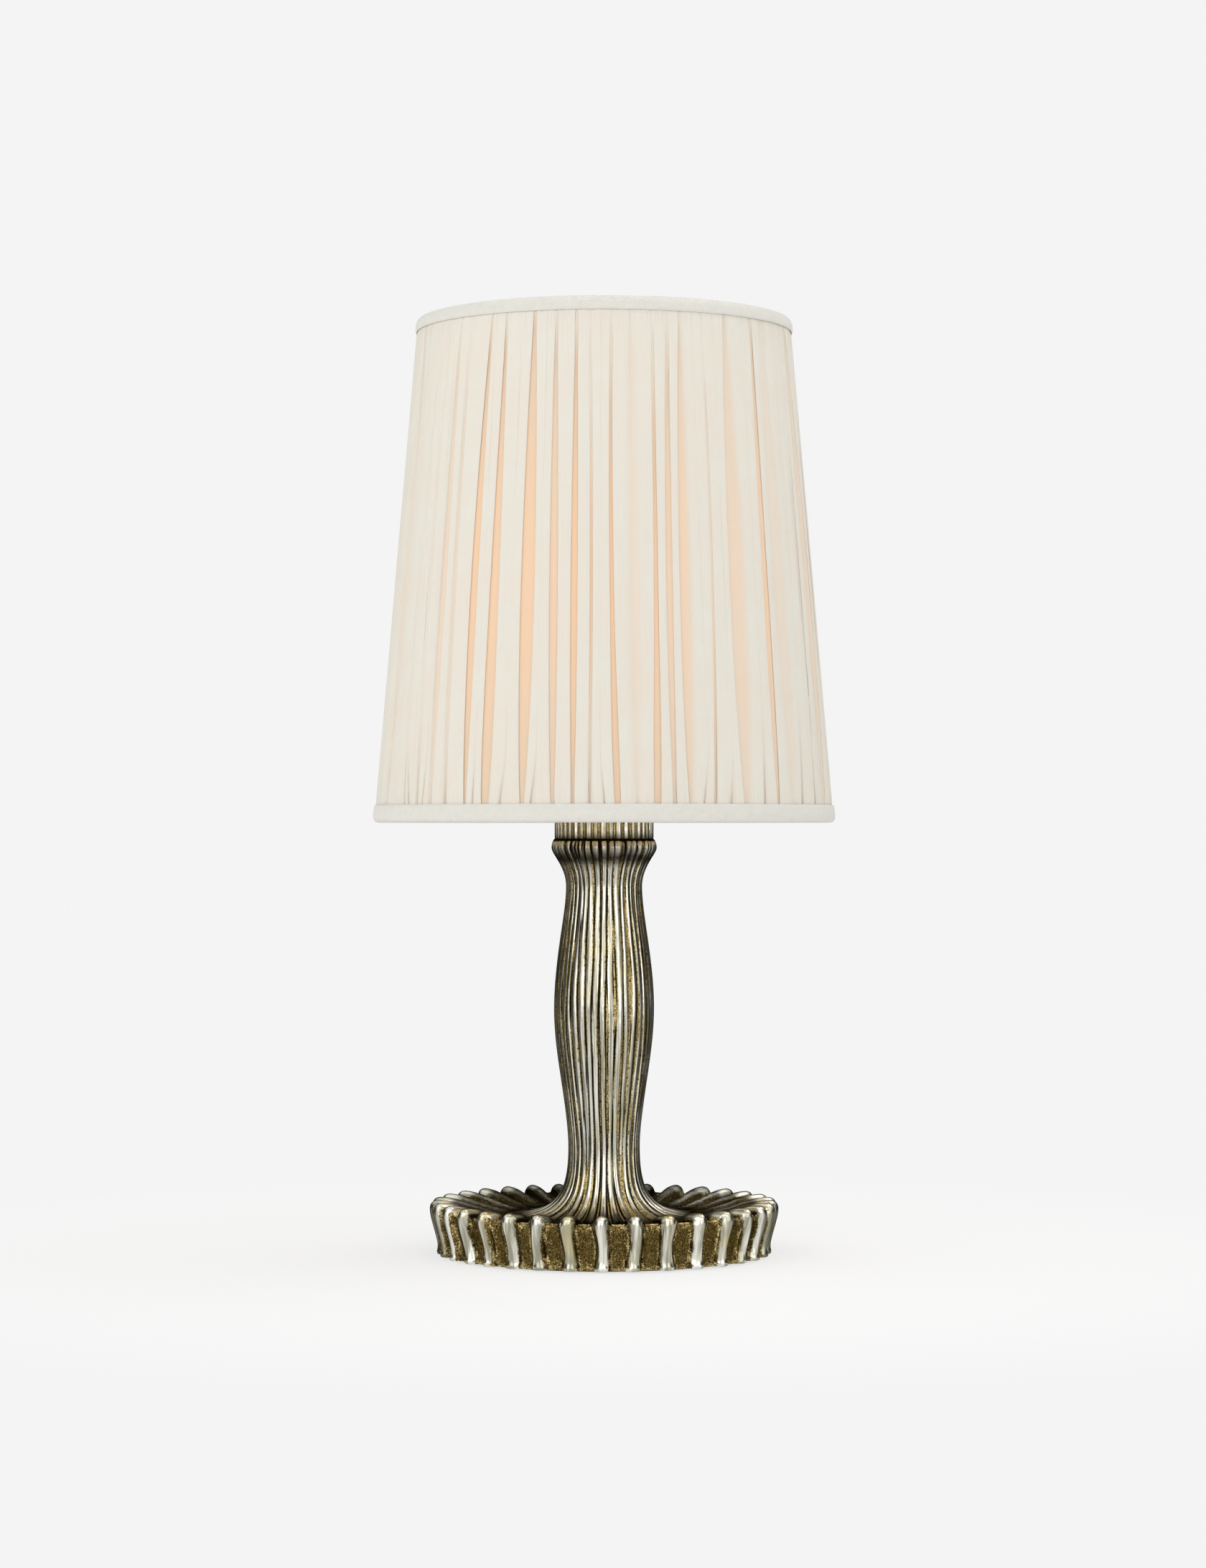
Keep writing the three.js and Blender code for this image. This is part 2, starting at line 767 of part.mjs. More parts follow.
/** The bulb's plastic collar, with a shallow recess for the globe's mouth. */
function bulbCollar() {
  const globeAtLip = Math.sqrt(globeRadius ** 2 - (globeLift - bulbCollarRecess + seat) ** 2);
  const lip = globeAtLip + seat;
  return turned(
    [
      [0, 0],
      [bulbCapRadius + 0.8, 0],
      [bulbCollarRadius - 1.2, 0.72 * bulbCollarHeight],
      [bulbCollarRadius, 0.92 * bulbCollarHeight],
      [bulbCollarRadius, bulbCollarHeight],
      [lip, bulbCollarHeight],
      [lip, bulbCollarHeight - bulbCollarRecess],
      [0, bulbCollarHeight - bulbCollarRecess],
    ],
    socketSegments,
  );
}

/** The frosted globe, open where it stands in its collar. */
function bulbGlobe() {
  const steps = 6;
  const arc = (radius) =>
    Array.from({ length: steps + 1 }, (_, step) => {
      const angle = (step * (Math.PI - globeMouthAngle)) / steps;
      return [radius * Math.sin(angle), radius * Math.cos(angle)];
    });
  return turned([...arc(globeRadius - globeWall), ...arc(globeRadius).reverse()], socketSegments);
}

/** The round board inside the globe, with its light-emitting chips. */
function ledBoard() {
  const chips = Array.from({ length: ledCount }, (_, chip) => {
    const spot = along((2 * Math.PI * chip) / ledCount, ledBoardRadius - 5, 0);
    return block(ledSize, ledSize, ledBoardThickness + 0.8).translate(...spot);
  });
  return join(disc(ledBoardRadius, 0, ledBoardThickness, 16), ...chips);
}

// The harp

/** The bent wire that carries the shade, with a straight foot beside each arm of the saddle. */
function harp() {
  const point = (x, z) => new THREE.Vector3(x, 0, z);
  const path = new THREE.CurvePath();
  const bowStart = 0.25 * (harpBowHeight - harpFootLength);
  const stretches = [
    [
      [harpFoot, 0],
      [harpFoot, harpFootLength],
    ],
    [
      [harpFoot, harpFootLength],
      [harpFoot, harpFootLength + bowStart],
      [harpBow, harpBowHeight - 2 * bowStart],
      [harpBow, harpBowHeight],
    ],
    [
      [harpBow, harpBowHeight],
      [harpBow, 0.8 * harpHeight],
      [0.5 * harpBow, harpHeight],
      [0, harpHeight],
    ],
  ];
  const curveOf = (points) =>
    points.length === 2 ? new THREE.LineCurve3(...points) : new THREE.CubicBezierCurve3(...points);
  for (const stretch of stretches) path.add(curveOf(stretch.map(([x, z]) => point(x, z))));
  for (const stretch of stretches.toReversed()) {
    path.add(curveOf(stretch.toReversed().map(([x, z]) => point(-x, z))));
  }
  return wire(path, harpWire, 44, 6);
}

function harpStud() {
  return turned(
    [
      [0, 0],
      [studSeatRadius, 0],
      [studSeatRadius, studSeatThickness],
      [studRadius, studSeatThickness],
      [studRadius, studSeatThickness + studLength],
      [0, studSeatThickness + studLength],
    ],
    16,
  );
}

/** The sleeve that locks a foot of the harp to its arm. */
function ferrule() {
  return turnedRing(
    [
      [ferruleInner, 0],
      [ferruleInner + ferruleWall, 0],
      [ferruleInner + ferruleWall, 0.8 * ferruleHeight],
      [ferruleInner + 0.5 * ferruleWall, ferruleHeight],
      [ferruleInner, ferruleHeight],
    ],
    16,
  );
}

// The shade

/** Where each fold of the cloth begins round the shade, with the uneven widths of hand gathering. */
const foldStarts = Array.from({ length: foldCount }, (_, fold) => {
  const wander = foldUnevenness * (Math.sin(1.7 * fold) + Math.sin(4.1 * fold + 1));
  return ((fold + wander) * 2 * Math.PI) / foldCount;
});

/** The gathered cloth: flat folds with narrow valleys between them, drawn in under both bands. */
function shadeCover() {
  const bottom = shadeBottom + clothEdge;
  const top = shadeTop - clothEdge;
  const bottomBand = shadeBottom + bottomBandHeight + seat;
  const topBand = shadeTop - topBandHeight - seat;
  const outerRings = [
    [bottom, tuckDepth, tuckedFold],
    [bottomBand, tuckDepth, tuckedFold],
    [bottomBand + foldGather, 0, 1],
    [topBand - foldGather, 0, 1],
    [topBand, tuckDepth, tuckedFold],
    [top, tuckDepth, tuckedFold],
  ];
  const rounds = foldStarts.flatMap((start, fold) => {
    const end = foldStarts[(fold + 1) % foldCount] + (fold === foldCount - 1 ? 2 * Math.PI : 0);
    return [
      [start, 0],
      [THREE.MathUtils.lerp(start, end, 0.7), 0.15],
      [THREE.MathUtils.lerp(start, end, 0.87), 1],
    ];
  });
  const positions = [];
  for (const [height, tuck, depth] of outerRings) {
    for (const [angle, sink] of rounds) {
      positions.push(...along(angle, coneAt(height) - tuck - foldDepth * depth * sink, height));
    }
  }
  for (const height of [top, bottom]) {
    for (const [angle] of rounds) positions.push(...along(angle, coneAt(height) - clothThickness, height));
  }
  const ringSize = rounds.length;
  const size = positions.length / 3;
  const indices = [];
  for (let ring = 0; ring < size; ring += ringSize) {
    const above = (ring + ringSize) % size;
    for (let side = 0; side < ringSize; side++) {
      const next = (side + 1) % ringSize;
      indices.push(ring + side, ring + next, above + side, ring + next, above + next, above + side);
    }
  }
  const geometry = new THREE.BufferGeometry();
  geometry.setAttribute("position", new THREE.Float32BufferAttribute(positions, 3));
  geometry.setIndex(indices);
  return geometry;
}

/** The stiff lining behind the cloth, which the two wire rings hold open. */
function shadeLining() {
  const at = (height, inset) => [coneAt(height) - clothThickness - seat - inset, height];
  const bottom = shadeBottom + clothEdge;
  const top = shadeTop - clothEdge;
  const outline = [at(bottom, liningWall), at(bottom, 0), at(top, 0), at(top, liningWall)];
  return turnedRing(outline, shadeSegments);
}

/** One of the rings of wire inside the shade's edges. */
function wireRing(radius) {
  return new THREE.TorusGeometry(radius, ringWire, 6, shadeSegments);
}

/** The welded top frame: a hub that sits on the harp, three bent arms, and the ring that carries the shade. */
function spiderFrame() {
  const level = hubBottom + hubThickness / 2;
  const rise = topRingHeight - level;
  const arms = Array.from({ length: armCount }, (_, arm) => {
    const angle = Math.PI / 2 + (2 * Math.PI * arm) / armCount;
    const route = curveThrough([
      along(angle, hubRadius - 3, level),
      along(angle, 0.68 * topRingRadius, level),
      along(angle, 0.88 * topRingRadius, level + 0.35 * rise),
      along(angle, topRingRadius, topRingHeight),
    ]);
    return wire(route, armWire, 7, 6);
  });
  const hub = ring(studHole, hubRadius, hubBottom, hubBottom + hubThickness, 18);
  return join(hub, ...arms, wireRing(topRingRadius).translate(0, 0, topRingHeight));
}

/** The turned-in tape round an edge of the shade: a channel over the cloth, the lining and the ring. */
function edgeBand(edge, height, direction) {
  const inner = ringInset + ringWire + seat; // from the cone to the channel's inner leg
  const leg = clothEdge + 0.6 * ringWire;
  const at = (rise, inset) => [coneAt(edge + direction * rise) - inset, edge + direction * rise];
  const outline = [
    at(0, inner + bandWall),
    at(0, -bandProud),
    at(height, -bandProud),
    at(height, bandWall - bandProud),
    at(bandWall, bandWall - bandProud),
    at(bandWall, inner),
    at(leg, inner),
    at(leg, inner + bandWall),
  ];
  return turnedRing(direction > 0 ? outline : outline.reverse(), shadeSegments);
}

// The finial

function finial() {
  const waist = 0.62 * finialRadius;
  return turned(
    [
      [0, finialHole],
      [studHole, finialHole],
      [studHole, 0],
      [finialRadius, 0],
      [finialRadius, 2.2],
      [waist, 4.2],
      [waist, 6.4],
      [0.9 * finialRadius, 9.4],
      [finialRadius, 12.8],
      [0.88 * finialRadius, 16.4],
      [0.5 * finialRadius, 19.4],
      [2, finialHeight - 1],
      [0, finialHeight],
    ],
    16,
  );
}

// Finishes

const finish = (color, roughness, metalness) => new THREE.MeshStandardMaterial({ color, roughness, metalness });
const antiqueSilver = finish(0x8a7f66, 0.35, 1);
const antiqueBrass = finish(0x9a7d45, 0.35, 1);
const zincSteel = finish(0x9c9d9c, 0.45, 1);
const castIron = finish(0x3a3a3b, 0.8, 0.6);
const blackFelt = finish(0x1d1c1b, 0.95, 0);
const blackPlastic = finish(0x1f1f20, 0.5, 0);
const whitePlastic = finish(0xe9e7e1, 0.5, 0);
const greenBoard = finish(0x1f5a38, 0.5, 0);
const blueSleeve = finish(0x2d5a86, 0.45, 0);
const frostedGlass = finish(0xf6efe2, 0.5, 0);
const creamCloth = finish(0xf0e9de, 0.95, 0);
const tapeCloth = finish(0xefede6, 0.95, 0);
const liningSheet = finish(0xf5f1e8, 0.7, 0);

// The lamp

const lamp = new THREE.Group();

function add(name, geometry, material, height = 0, x = 0, y = 0) {
  const mesh = new THREE.Mesh(geometry, material);
  mesh.name = name;
  mesh.position.set(x, y, height);
  lamp.add(mesh);
  return mesh;
}

add("dish_and_stem", dishAndStem(), antiqueSilver);
add("neck_cup", neckCup(), antiqueSilver, neckBottom);
add("felt_ring", ring(feltInner, feltOuter, 0, feltThickness, shadeSegments), blackFelt);
add("base_plate", basePlate(), zincSteel, plateBottom);
screwAngles.forEach((angle, index) => {
  const [x, y] = along(angle, screwCircle, 0);
  add(`base_screw_${index + 1}`, countersunkScrew(), zincSteel, plateBottom, x, y);
});
add("ballast_ring", ballastRing(), castIron, plateTop + seat);
add("control_board", controlBoard(), greenBoard, boardBottom, 0, boardMiddle);
add("charging_port", chargingPort(), zincSteel, portMiddle, 0, portMouth - portLength / 2);

add("battery_cap", batteryCap(), blackPlastic, capBottom);
add("battery_pack", batteryPack(), blueSleeve, packBottom);
add("stem_lead", stemLead(), blackPlastic);
add("battery_lead", batteryLead(), blackPlastic);

add("nipple", nipple(), zincSteel, nippleBottom);
add("nipple_nut", nippleNut(), zincSteel, stemBoreTop - seat - nutHeight);
add("harp_saddle", harpSaddle(), antiqueBrass, saddleBottom);
add("socket_cap", socketCap(), antiqueBrass, socketBottom);
add("socket_core", socketCore(), blackPlastic, sleeveBottom);
add("socket_sleeve", socketSleeve(), antiqueBrass, sleeveBottom);
add("socket_liner", tube(linerInner, linerWall, screwShellHeight + 1), blackPlastic, screwShellBottom);
add("screw_shell", tube(screwShellInner, linerWall, screwShellHeight), zincSteel, screwShellBottom);
add("centre_contact", disc(contactRadius, 0, contactHeight, 10), antiqueBrass, screwShellBottom);
const knob = add("dimmer_knob", dimmerKnob(), blackPlastic, knobHeight, 0, shaftInside - sleeveOuter);
knob.rotation.x = Math.PI / 2;

add("bulb_cap", bulbCap(), zincSteel, bulbBottom);
add("bulb_collar", bulbCollar(), whitePlastic, bulbCollarBottom);
add("led_board", ledBoard(), whitePlastic, globeSeat);
add("bulb_globe", bulbGlobe(), frostedGlass, globeSeat + globeLift);

add("harp", harp(), antiqueBrass, harpBottom);
add("harp_stud", harpStud(), antiqueBrass, studBottom);
add("left_ferrule", ferrule(), antiqueBrass, harpBottom, -ferruleCentre);
add("right_ferrule", ferrule(), antiqueBrass, harpBottom, ferruleCentre);

add("spider_frame", spiderFrame(), zincSteel);
add("bottom_ring", wireRing(bottomRingRadius), zincSteel, bottomRingHeight);
add("shade_lining", shadeLining(), liningSheet);
add("shade_cover", shadeCover(), creamCloth);
add("top_band", edgeBand(shadeTop, topBandHeight, -1), tapeCloth);
add("bottom_band", edgeBand(shadeBottom, bottomBandHeight, 1), tapeCloth);

add("finial", finial(), antiqueSilver, hubTop + seat);

export default lamp;
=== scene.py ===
import math
import random
from collections import namedtuple

import bmesh
import bpy
import numpy as np
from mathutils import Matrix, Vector
from mathutils.geometry import interpolate_bezier


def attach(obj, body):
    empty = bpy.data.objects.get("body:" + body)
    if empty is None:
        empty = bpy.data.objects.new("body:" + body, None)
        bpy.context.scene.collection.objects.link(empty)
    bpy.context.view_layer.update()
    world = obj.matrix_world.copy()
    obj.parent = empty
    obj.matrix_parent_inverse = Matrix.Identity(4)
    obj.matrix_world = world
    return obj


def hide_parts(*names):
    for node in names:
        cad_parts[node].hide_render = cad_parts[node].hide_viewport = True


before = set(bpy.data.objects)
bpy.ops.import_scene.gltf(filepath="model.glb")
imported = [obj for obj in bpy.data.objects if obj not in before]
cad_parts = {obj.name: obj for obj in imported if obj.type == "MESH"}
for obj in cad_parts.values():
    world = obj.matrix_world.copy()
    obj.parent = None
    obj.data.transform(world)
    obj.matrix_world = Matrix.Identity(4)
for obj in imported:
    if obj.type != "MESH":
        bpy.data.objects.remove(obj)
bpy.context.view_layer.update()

# A cordless table lamp: a ribbed, silver-leafed dish and stem, and a gathered cloth shade lit from inside.
# +Z is up and the front is -Y. The pieces' sizes are in millimetres until mm() makes them metres, and the
# studio's are in metres.

chance = random.Random(11)
merge_distance = 1e-7


def mm(*sizes):
    metres = tuple(size / 1000 for size in sizes)
    return metres if len(metres) > 1 else metres[0]


def colour(web):
    """A colour from its six hex digits, as the linear numbers that a shader reads."""
    parts = [int(web[start : start + 2], 16) / 255 for start in (0, 2, 4)]
    return (*[part / 12.92 if part <= 0.04045 else ((part + 0.055) / 1.055) ** 2.4 for part in parts], 1)


def smooth(share):
    share = np.clip(share, 0, 1)
    return share * share * (3 - 2 * share)


# Shader maths


class Value:
    """An output of a node. Python's operators on it add Math nodes."""

    def __init__(self, nodes, socket):
        self.nodes = nodes
        self.socket = socket

    def maths(self, operation, *terms):
        return self.nodes.add("ShaderNodeMath", {"operation": operation}, dict(enumerate(terms)))

    def __add__(self, other):
        return self.maths("ADD", self, other)

    __radd__ = __add__

    def __sub__(self, other):
        return self.maths("SUBTRACT", self, other)

    def __rsub__(self, other):
        return self.maths("SUBTRACT", other, self)

    def __mul__(self, other):
        return self.maths("MULTIPLY", self, other)

    __rmul__ = __mul__

    def __truediv__(self, other):
        return self.maths("DIVIDE", self, other)

    def ramp(self, low, high):
        """0 below low, 1 above high, and smooth between them."""
        limits = {"Value": self, "From Min": low, "From Max": high}
        return self.nodes.add("ShaderNodeMapRange", {"interpolation_type": "SMOOTHSTEP"}, limits)


class Nodes:
    """The node tree of a material or of the world."""

    def __init__(self, tree):
        self.tree = tree
        tree.nodes.clear()

    def add(self, kind, settings=None, values=None, output=0):
        """Adds a node with its settings, then its sockets' values or links, and gives one of its outputs."""
        node = self.tree.nodes.new(kind)
        for name, setting in (settings or {}).items():
            setattr(node, name, setting)
        for key, value in (values or {}).items():
            sockets = [s for s in node.inputs if key in (s.name, s.identifier)]
            socket = node.inputs[key] if isinstance(key, int) else sockets[0]
            if isinstance(value, Value):
                self.tree.links.new(value.socket, socket)
            else:
                socket.default_value = value
        return Value(self, node.outputs[output]) if node.outputs else None

    def mix(self, share, first, second):
        values = {"Factor_Float": share, "A_Color": first, "B_Color": second}
        return self.add("ShaderNodeMix", {"data_type": "RGBA"}, values, 2)

    def place(self, *stretch):
        """Object coordinates in millimetres, times a stretch along each axis."""
        here = self.add("ShaderNodeTexCoord", output="Object")
        scale = [1000 * amount for amount in stretch or (1, 1, 1)]
        return self.add("ShaderNodeVectorMath", {"operation": "MULTIPLY"}, {0: here, 1: scale})

    def along(self, *stretch):
        """The piece's own UV map in millimetres, times a stretch along each axis."""
        here = self.add("ShaderNodeTexCoord", output="UV")
        return self.add("ShaderNodeVectorMath", {"operation": "MULTIPLY"}, {0: here, 1: (*stretch, 1)})

    def noise(self, place, size, detail=2.0, roughness=0.5):
        """Soft noise whose blots are about as large as the size."""
        values = {"Vector": place, "Scale": 1 / size, "Detail": detail, "Roughness": roughness}
        return self.add("ShaderNodeTexNoise", values=values)

    def attribute(self, name):
        return self.add("ShaderNodeAttribute", {"attribute_name": name}, output="Fac")

    def bump(self, height, depth, under=None):
        """A bump as deep as the depth in millimetres where the height is 1."""
        values = {"Height": height, "Distance": mm(depth), "Strength": 1.0}
        if under:
            values["Normal"] = under
        return self.add("ShaderNodeBump", values=values)


def finish(name, build):
    """A material. build() adds its nodes and gives the shader's sockets."""
    material = bpy.data.materials.new(name)
    material.use_nodes = True
    nodes = Nodes(material.node_tree)
    shader = nodes.add("ShaderNodeBsdfPrincipled", values=build(nodes))
    nodes.add("ShaderNodeOutputMaterial", values={"Surface": shader})
    return material


# Finishes


def silver_leaf(nodes):
    """Silver leaf: rubbed bright on the ribs, speckled gold and brown between them, umber in the creases.
    Its shade in the dish and round the bead and collar is painted, and so are some glints of gold.
    """
    rise = nodes.attribute("rise")
    glaze_and_shade = nodes.attribute("glaze_and_shade")
    gold_and_glint = nodes.attribute("gold_and_glint")
    here = nodes.place()
    clouds = nodes.noise(here, 16, 2)
    patches = nodes.noise(here, 2.6, 3, 0.6)
    flecks = nodes.noise(here, 0.6, 4, 0.7)
    pits = nodes.noise(nodes.place(1, 1, 0.6), 0.45, 3, 0.7)
    streaks = nodes.noise(nodes.along(1.1, 0.025), 1.0, 3, 0.65)
    ridge = (rise + 0.5 * (patches - 0.5) + 0.5 * (flecks - 0.5) + 0.6 * (streaks - 0.5)).ramp(0.28, 0.52)
    silver = nodes.mix(streaks.ramp(0.4, 0.6), colour("A5A38E"), colour("F6F4E9"))
    silver = nodes.mix(clouds.ramp(0.48, 0.7) * 0.5, silver, colour("DBCB98"))
    umber = nodes.mix(pits.ramp(0.4, 0.62), colour("6E5C30"), colour("2A210D"))
    # More bare gold where this mark is high: real gold flecks, and painted glints at the rim's top and foot
    # and on the neck
    bare = (flecks + 0.45 * gold_and_glint + 0.3 * (patches - 0.5)).ramp(0.6, 0.74)
    valley = nodes.mix(bare, umber, nodes.mix(pits.ramp(0.45, 0.65), colour("E6CF94"), colour("8C7A46")))
    base = nodes.mix(ridge, valley, silver)
    # Dark umber where this mark is high: real glaze in the creases, and painted shade in the dish and round
    # the bead and collar
    base = nodes.mix((glaze_and_shade * (0.7 + 0.6 * patches)).ramp(0, 1), base, colour("1C160A"))
    rough = nodes.bump((1 - 0.92 * ridge) * flecks, 0.12)
    dents = nodes.bump(nodes.noise(here, 4.5, 1), 0.16, rough)
    return {
        "Base Color": base,
        "Metallic": 0.92 + 0.08 * ridge,
        "Roughness": 0.4 - 0.2 * ridge + 0.2 * glaze_and_shade,
        "Specular Tint": colour("6C6856"),
        "Normal": dents,
    }


def cover_cloth(nodes):
    """Fine cream linen. The bulb's glow through the single layer between the folds is painted, as colour and
    emission.
    """
    gap = nodes.attribute("gap")
    glow = nodes.attribute("glow")
    rumple = nodes.attribute("rumple")
    crease_shade = nodes.attribute("crease_shade")
    threads = nodes.noise(nodes.along(2.2, 0.05), 1.0, 2)
    weft = nodes.noise(nodes.along(0.08, 2.4), 1.0, 2)
    creases = nodes.noise(nodes.along(0.42, 0.006), 1.0, 3, 0.6)
    clouds = nodes.noise(nodes.place(), 16, 2)
    weave = 0.65 * threads + 0.35 * weft
    cream = nodes.mix(clouds.ramp(0.3, 0.7), colour("E3DFD4"), colour("E4DCD0"))
    cream = nodes.mix(weave.ramp(0.35, 0.7) * 0.3, cream, colour("DFD8CA"))
    # Painted shade: tan in the pinched creases near the foot
    cream = nodes.mix(crease_shade * 0.7, cream, colour("B9A286"))
    fine = nodes.bump(weave, 0.1)
    return {
        # The single layer's colour is painted glow, beige where it is weak and peach where it is strong
        "Base Color": nodes.mix(gap, cream, nodes.mix(glow, colour("DAC7B0"), colour("E0C2A4"))),
        "Roughness": 0.92,
        "Normal": nodes.bump(creases * rumple, 2.0, fine),
        "Emission Color": nodes.mix(gap * glow, colour("000000"), colour("674627")),
        "Emission Strength": 1.0,
    }


def tape_cloth(nodes):
    """Bias tape in a fine twill, whiter than the cover."""
    turn = {"Vector": nodes.along(1, 1), "Rotation": (0, 0, math.radians(45))}
    diagonal = nodes.add("ShaderNodeMapping", values=turn)
    wave = {"Vector": diagonal, "Scale": 0.62, "Distortion": 1.2, "Detail": 1.0}
    ribs = nodes.add("ShaderNodeTexWave", values=wave)
    slubs = nodes.noise(nodes.place(), 2.5, 3)
    base = nodes.mix(ribs * 0.5 + slubs.ramp(0.3, 0.8) * 0.3, colour("E6E4DD"), colour("D8D5CB"))
    return {"Base Color": base, "Roughness": 0.9, "Normal": nodes.bump(ribs + 0.5 * slubs, 0.08)}


def lining_card(nodes):
    """The pale lining, lit from inside, with a faint painted glow of its own."""
    grain = nodes.noise(nodes.place(), 1.2, 3)
    base = nodes.mix(grain, colour("F4EEE2"), colour("EADFCB"))
    return {
        "Base Color": base,
        "Roughness": 0.85,
        "Normal": nodes.bump(grain, 0.05),
        "Emission Color": nodes.mix(grain, colour("FFE2B8"), colour("F8D6A6")),
        "Emission Strength": 0.12,
    }


def frosted_globe(nodes):
    """Opal glass with the light behind it."""
    cloud = nodes.noise(nodes.place(), 9, 2)
    return {
        "Base Color": nodes.mix(cloud, colour("FFF8EC"), colour("FBF0DE")),
        "Roughness": 0.35,
        "Emission Color": nodes.mix(cloud, colour("FFE3B4"), colour("FFD9A0")),
        "Emission Strength": 1.1,
    }


def metal(bright, dull, roughness, grain=0.8):
    """Plain metal with brushed grain and small tarnish clouds."""

    def build(nodes):
        grains = nodes.noise(nodes.place(1, 1, 0.2), grain, 3)
        clouds = nodes.noise(nodes.place(), 7, 3)
        return {
            "Base Color": nodes.mix(clouds.ramp(0.35, 0.75), colour(bright), colour(dull)),
            "Metallic": 1.0,
            "Roughness": roughness + 0.15 * (grains - 0.5),
            "Normal": nodes.bump(grains, 0.02),
        }

    return build


def moulded(base, scuffed, roughness):
    """Moulded plastic with a faint spark texture."""

    def build(nodes):
        spark = nodes.noise(nodes.place(), 0.35, 2)
        clouds = nodes.noise(nodes.place(), 5, 2)
        return {
            "Base Color": nodes.mix(clouds.ramp(0.4, 0.8), colour(base), colour(scuffed)),
            "Roughness": roughness + 0.1 * (spark - 0.5),
            "Normal": nodes.bump(spark, 0.02),
        }

    return build


def felt(nodes):
    fibres = nodes.noise(nodes.place(), 0.5, 4, 0.7)
    tufts = nodes.noise(nodes.place(), 2.5, 3)
    base = nodes.mix(fibres * tufts * 2, colour("171615"), colour("3B3835"))
    return {"Base Color": base, "Roughness": 0.95, "Normal": nodes.bump(fibres, 0.3)}


def circuit_board(nodes):
    cell = nodes.add("ShaderNodeTexVoronoi", values={"Vector": nodes.place(), "Scale": 0.5})
    base = nodes.mix(cell.ramp(0.3, 0.5), colour("1E6A40"), colour("174D30"))
    return {"Base Color": base, "Roughness": 0.45, "Normal": nodes.bump(cell, 0.04)}


leaf = finish("antique_silver", silver_leaf)
linen = finish("cream_cloth", cover_cloth)
tape = finish("tape_cloth", tape_cloth)
card = finish("shade_lining", lining_card)
opal = finish("frosted_globe", frosted_globe)
brass = finish("antique_brass", metal("B79A5C", "7C6535", 0.34))
zinc = finish("zinc_steel", metal("C4C5C6", "9EA0A2", 0.38))
iron = finish("ballast_iron", metal("5B5B5C", "3B3633", 0.7, 1.5))
black = finish("black_plastic", moulded("1B1B1C", "262627", 0.42))
white = finish("white_plastic", moulded("ECEAE4", "E2DFD6", 0.4))
sleeve = finish("battery_sleeve", moulded("2C5F8F", "27527B", 0.35))
pad = finish("felt", felt)
board = finish("circuit_board", circuit_board)


# Making pieces


def show(name, data, material, body, node):
    """Shows a mesh or a curve as a piece that rides on a body and replaces a CAD node."""
    data.materials.append(material)
    made = bpy.data.objects.new(name, data)
    bpy.context.scene.collection.objects.link(made)
    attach(made, body)
    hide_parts(node)
    return made


def piece(name, shape, material, body, node, crease=35):
    """Shows a bmesh. Its edges are sharp where its faces turn by more than the crease, in degrees."""
    mesh = bpy.data.meshes.new(name)
    shape.to_mesh(mesh)
    shape.free()
    mesh.shade_smooth()
    mesh.set_sharp_from_angle(angle=math.radians(crease))
    return show(name, mesh, material, body, node)


def turned(outline, steps):
    """A bmesh turned about Z. Its outline's (radius, height) pairs end on the axis or where they began."""
    shape = bmesh.new()
    closed = outline[0] == outline[-1]
    corners = [shape.verts.new(mm(radius, 0, height)) for radius, height in outline[: -1 if closed else None]]
    pairs = list(zip(corners, corners[1:])) + ([(corners[-1], corners[0])] if closed else [])
    edges = [shape.edges.new(pair) for pair in pairs]
    axis = {"cent": (0, 0, 0), "axis": (0, 0, 1)}
    bmesh.ops.spin(shape, geom=corners + edges, angle=math.tau, steps=steps, use_merge=True, **axis)
    bmesh.ops.remove_doubles(shape, verts=shape.verts, dist=merge_distance)
    bmesh.ops.recalc_face_normals(shape, faces=shape.faces)
    return shape


def bend(start, start_handle, end_handle, end, steps):
    """Points along a smooth stretch of outline, without its first one."""
    corners = [Vector(point) for point in (start, start_handle, end_handle, end)]
    return [tuple(point) for point in interpolate_bezier(*corners, steps + 1)][1:]


# The ribs

rim_ribs = 33
stem_ribs = 40
ankle_height, rim_height, casting_foot = 44, 18.8, 0.8
bore = 5.2
neck_radius, neck_bottom, neck_top = 20.1, 169.1, 186.3


def rib_angles(count):
    """The middle of each rib, crowded and spread in three slow waves round the lamp."""
    even = math.tau * np.arange(count) / count
    stray = np.sin(3 * even - 0.8) + 0.25 * np.sin(5.3 * np.arange(count))
    return even - math.pi / 2 + 0.02 * stray


rim_angles = rib_angles(rim_ribs)
stem_angles = rib_angles(stem_ribs)
# Each rib of the stem has the nearest of the rim's ribs as its partner. Where two have the same partner, only
# the nearer one lasts down to the rim.
even_spots = np.arange(stem_ribs) * rim_ribs / stem_ribs
partner = np.round(even_spots).astype(int)
slip = np.abs(even_spots - partner)
lasts = np.array([slip[rib] == slip[partner == partner[rib]].min() for rib in range(stem_ribs)])
lasting = [int(np.flatnonzero((partner == rib) & lasts)[0]) for rib in range(rim_ribs)]


def wrapped(angles):
    """The angles with the first one a turn later at the end."""
    return np.append(angles, angles[0] + math.tau)


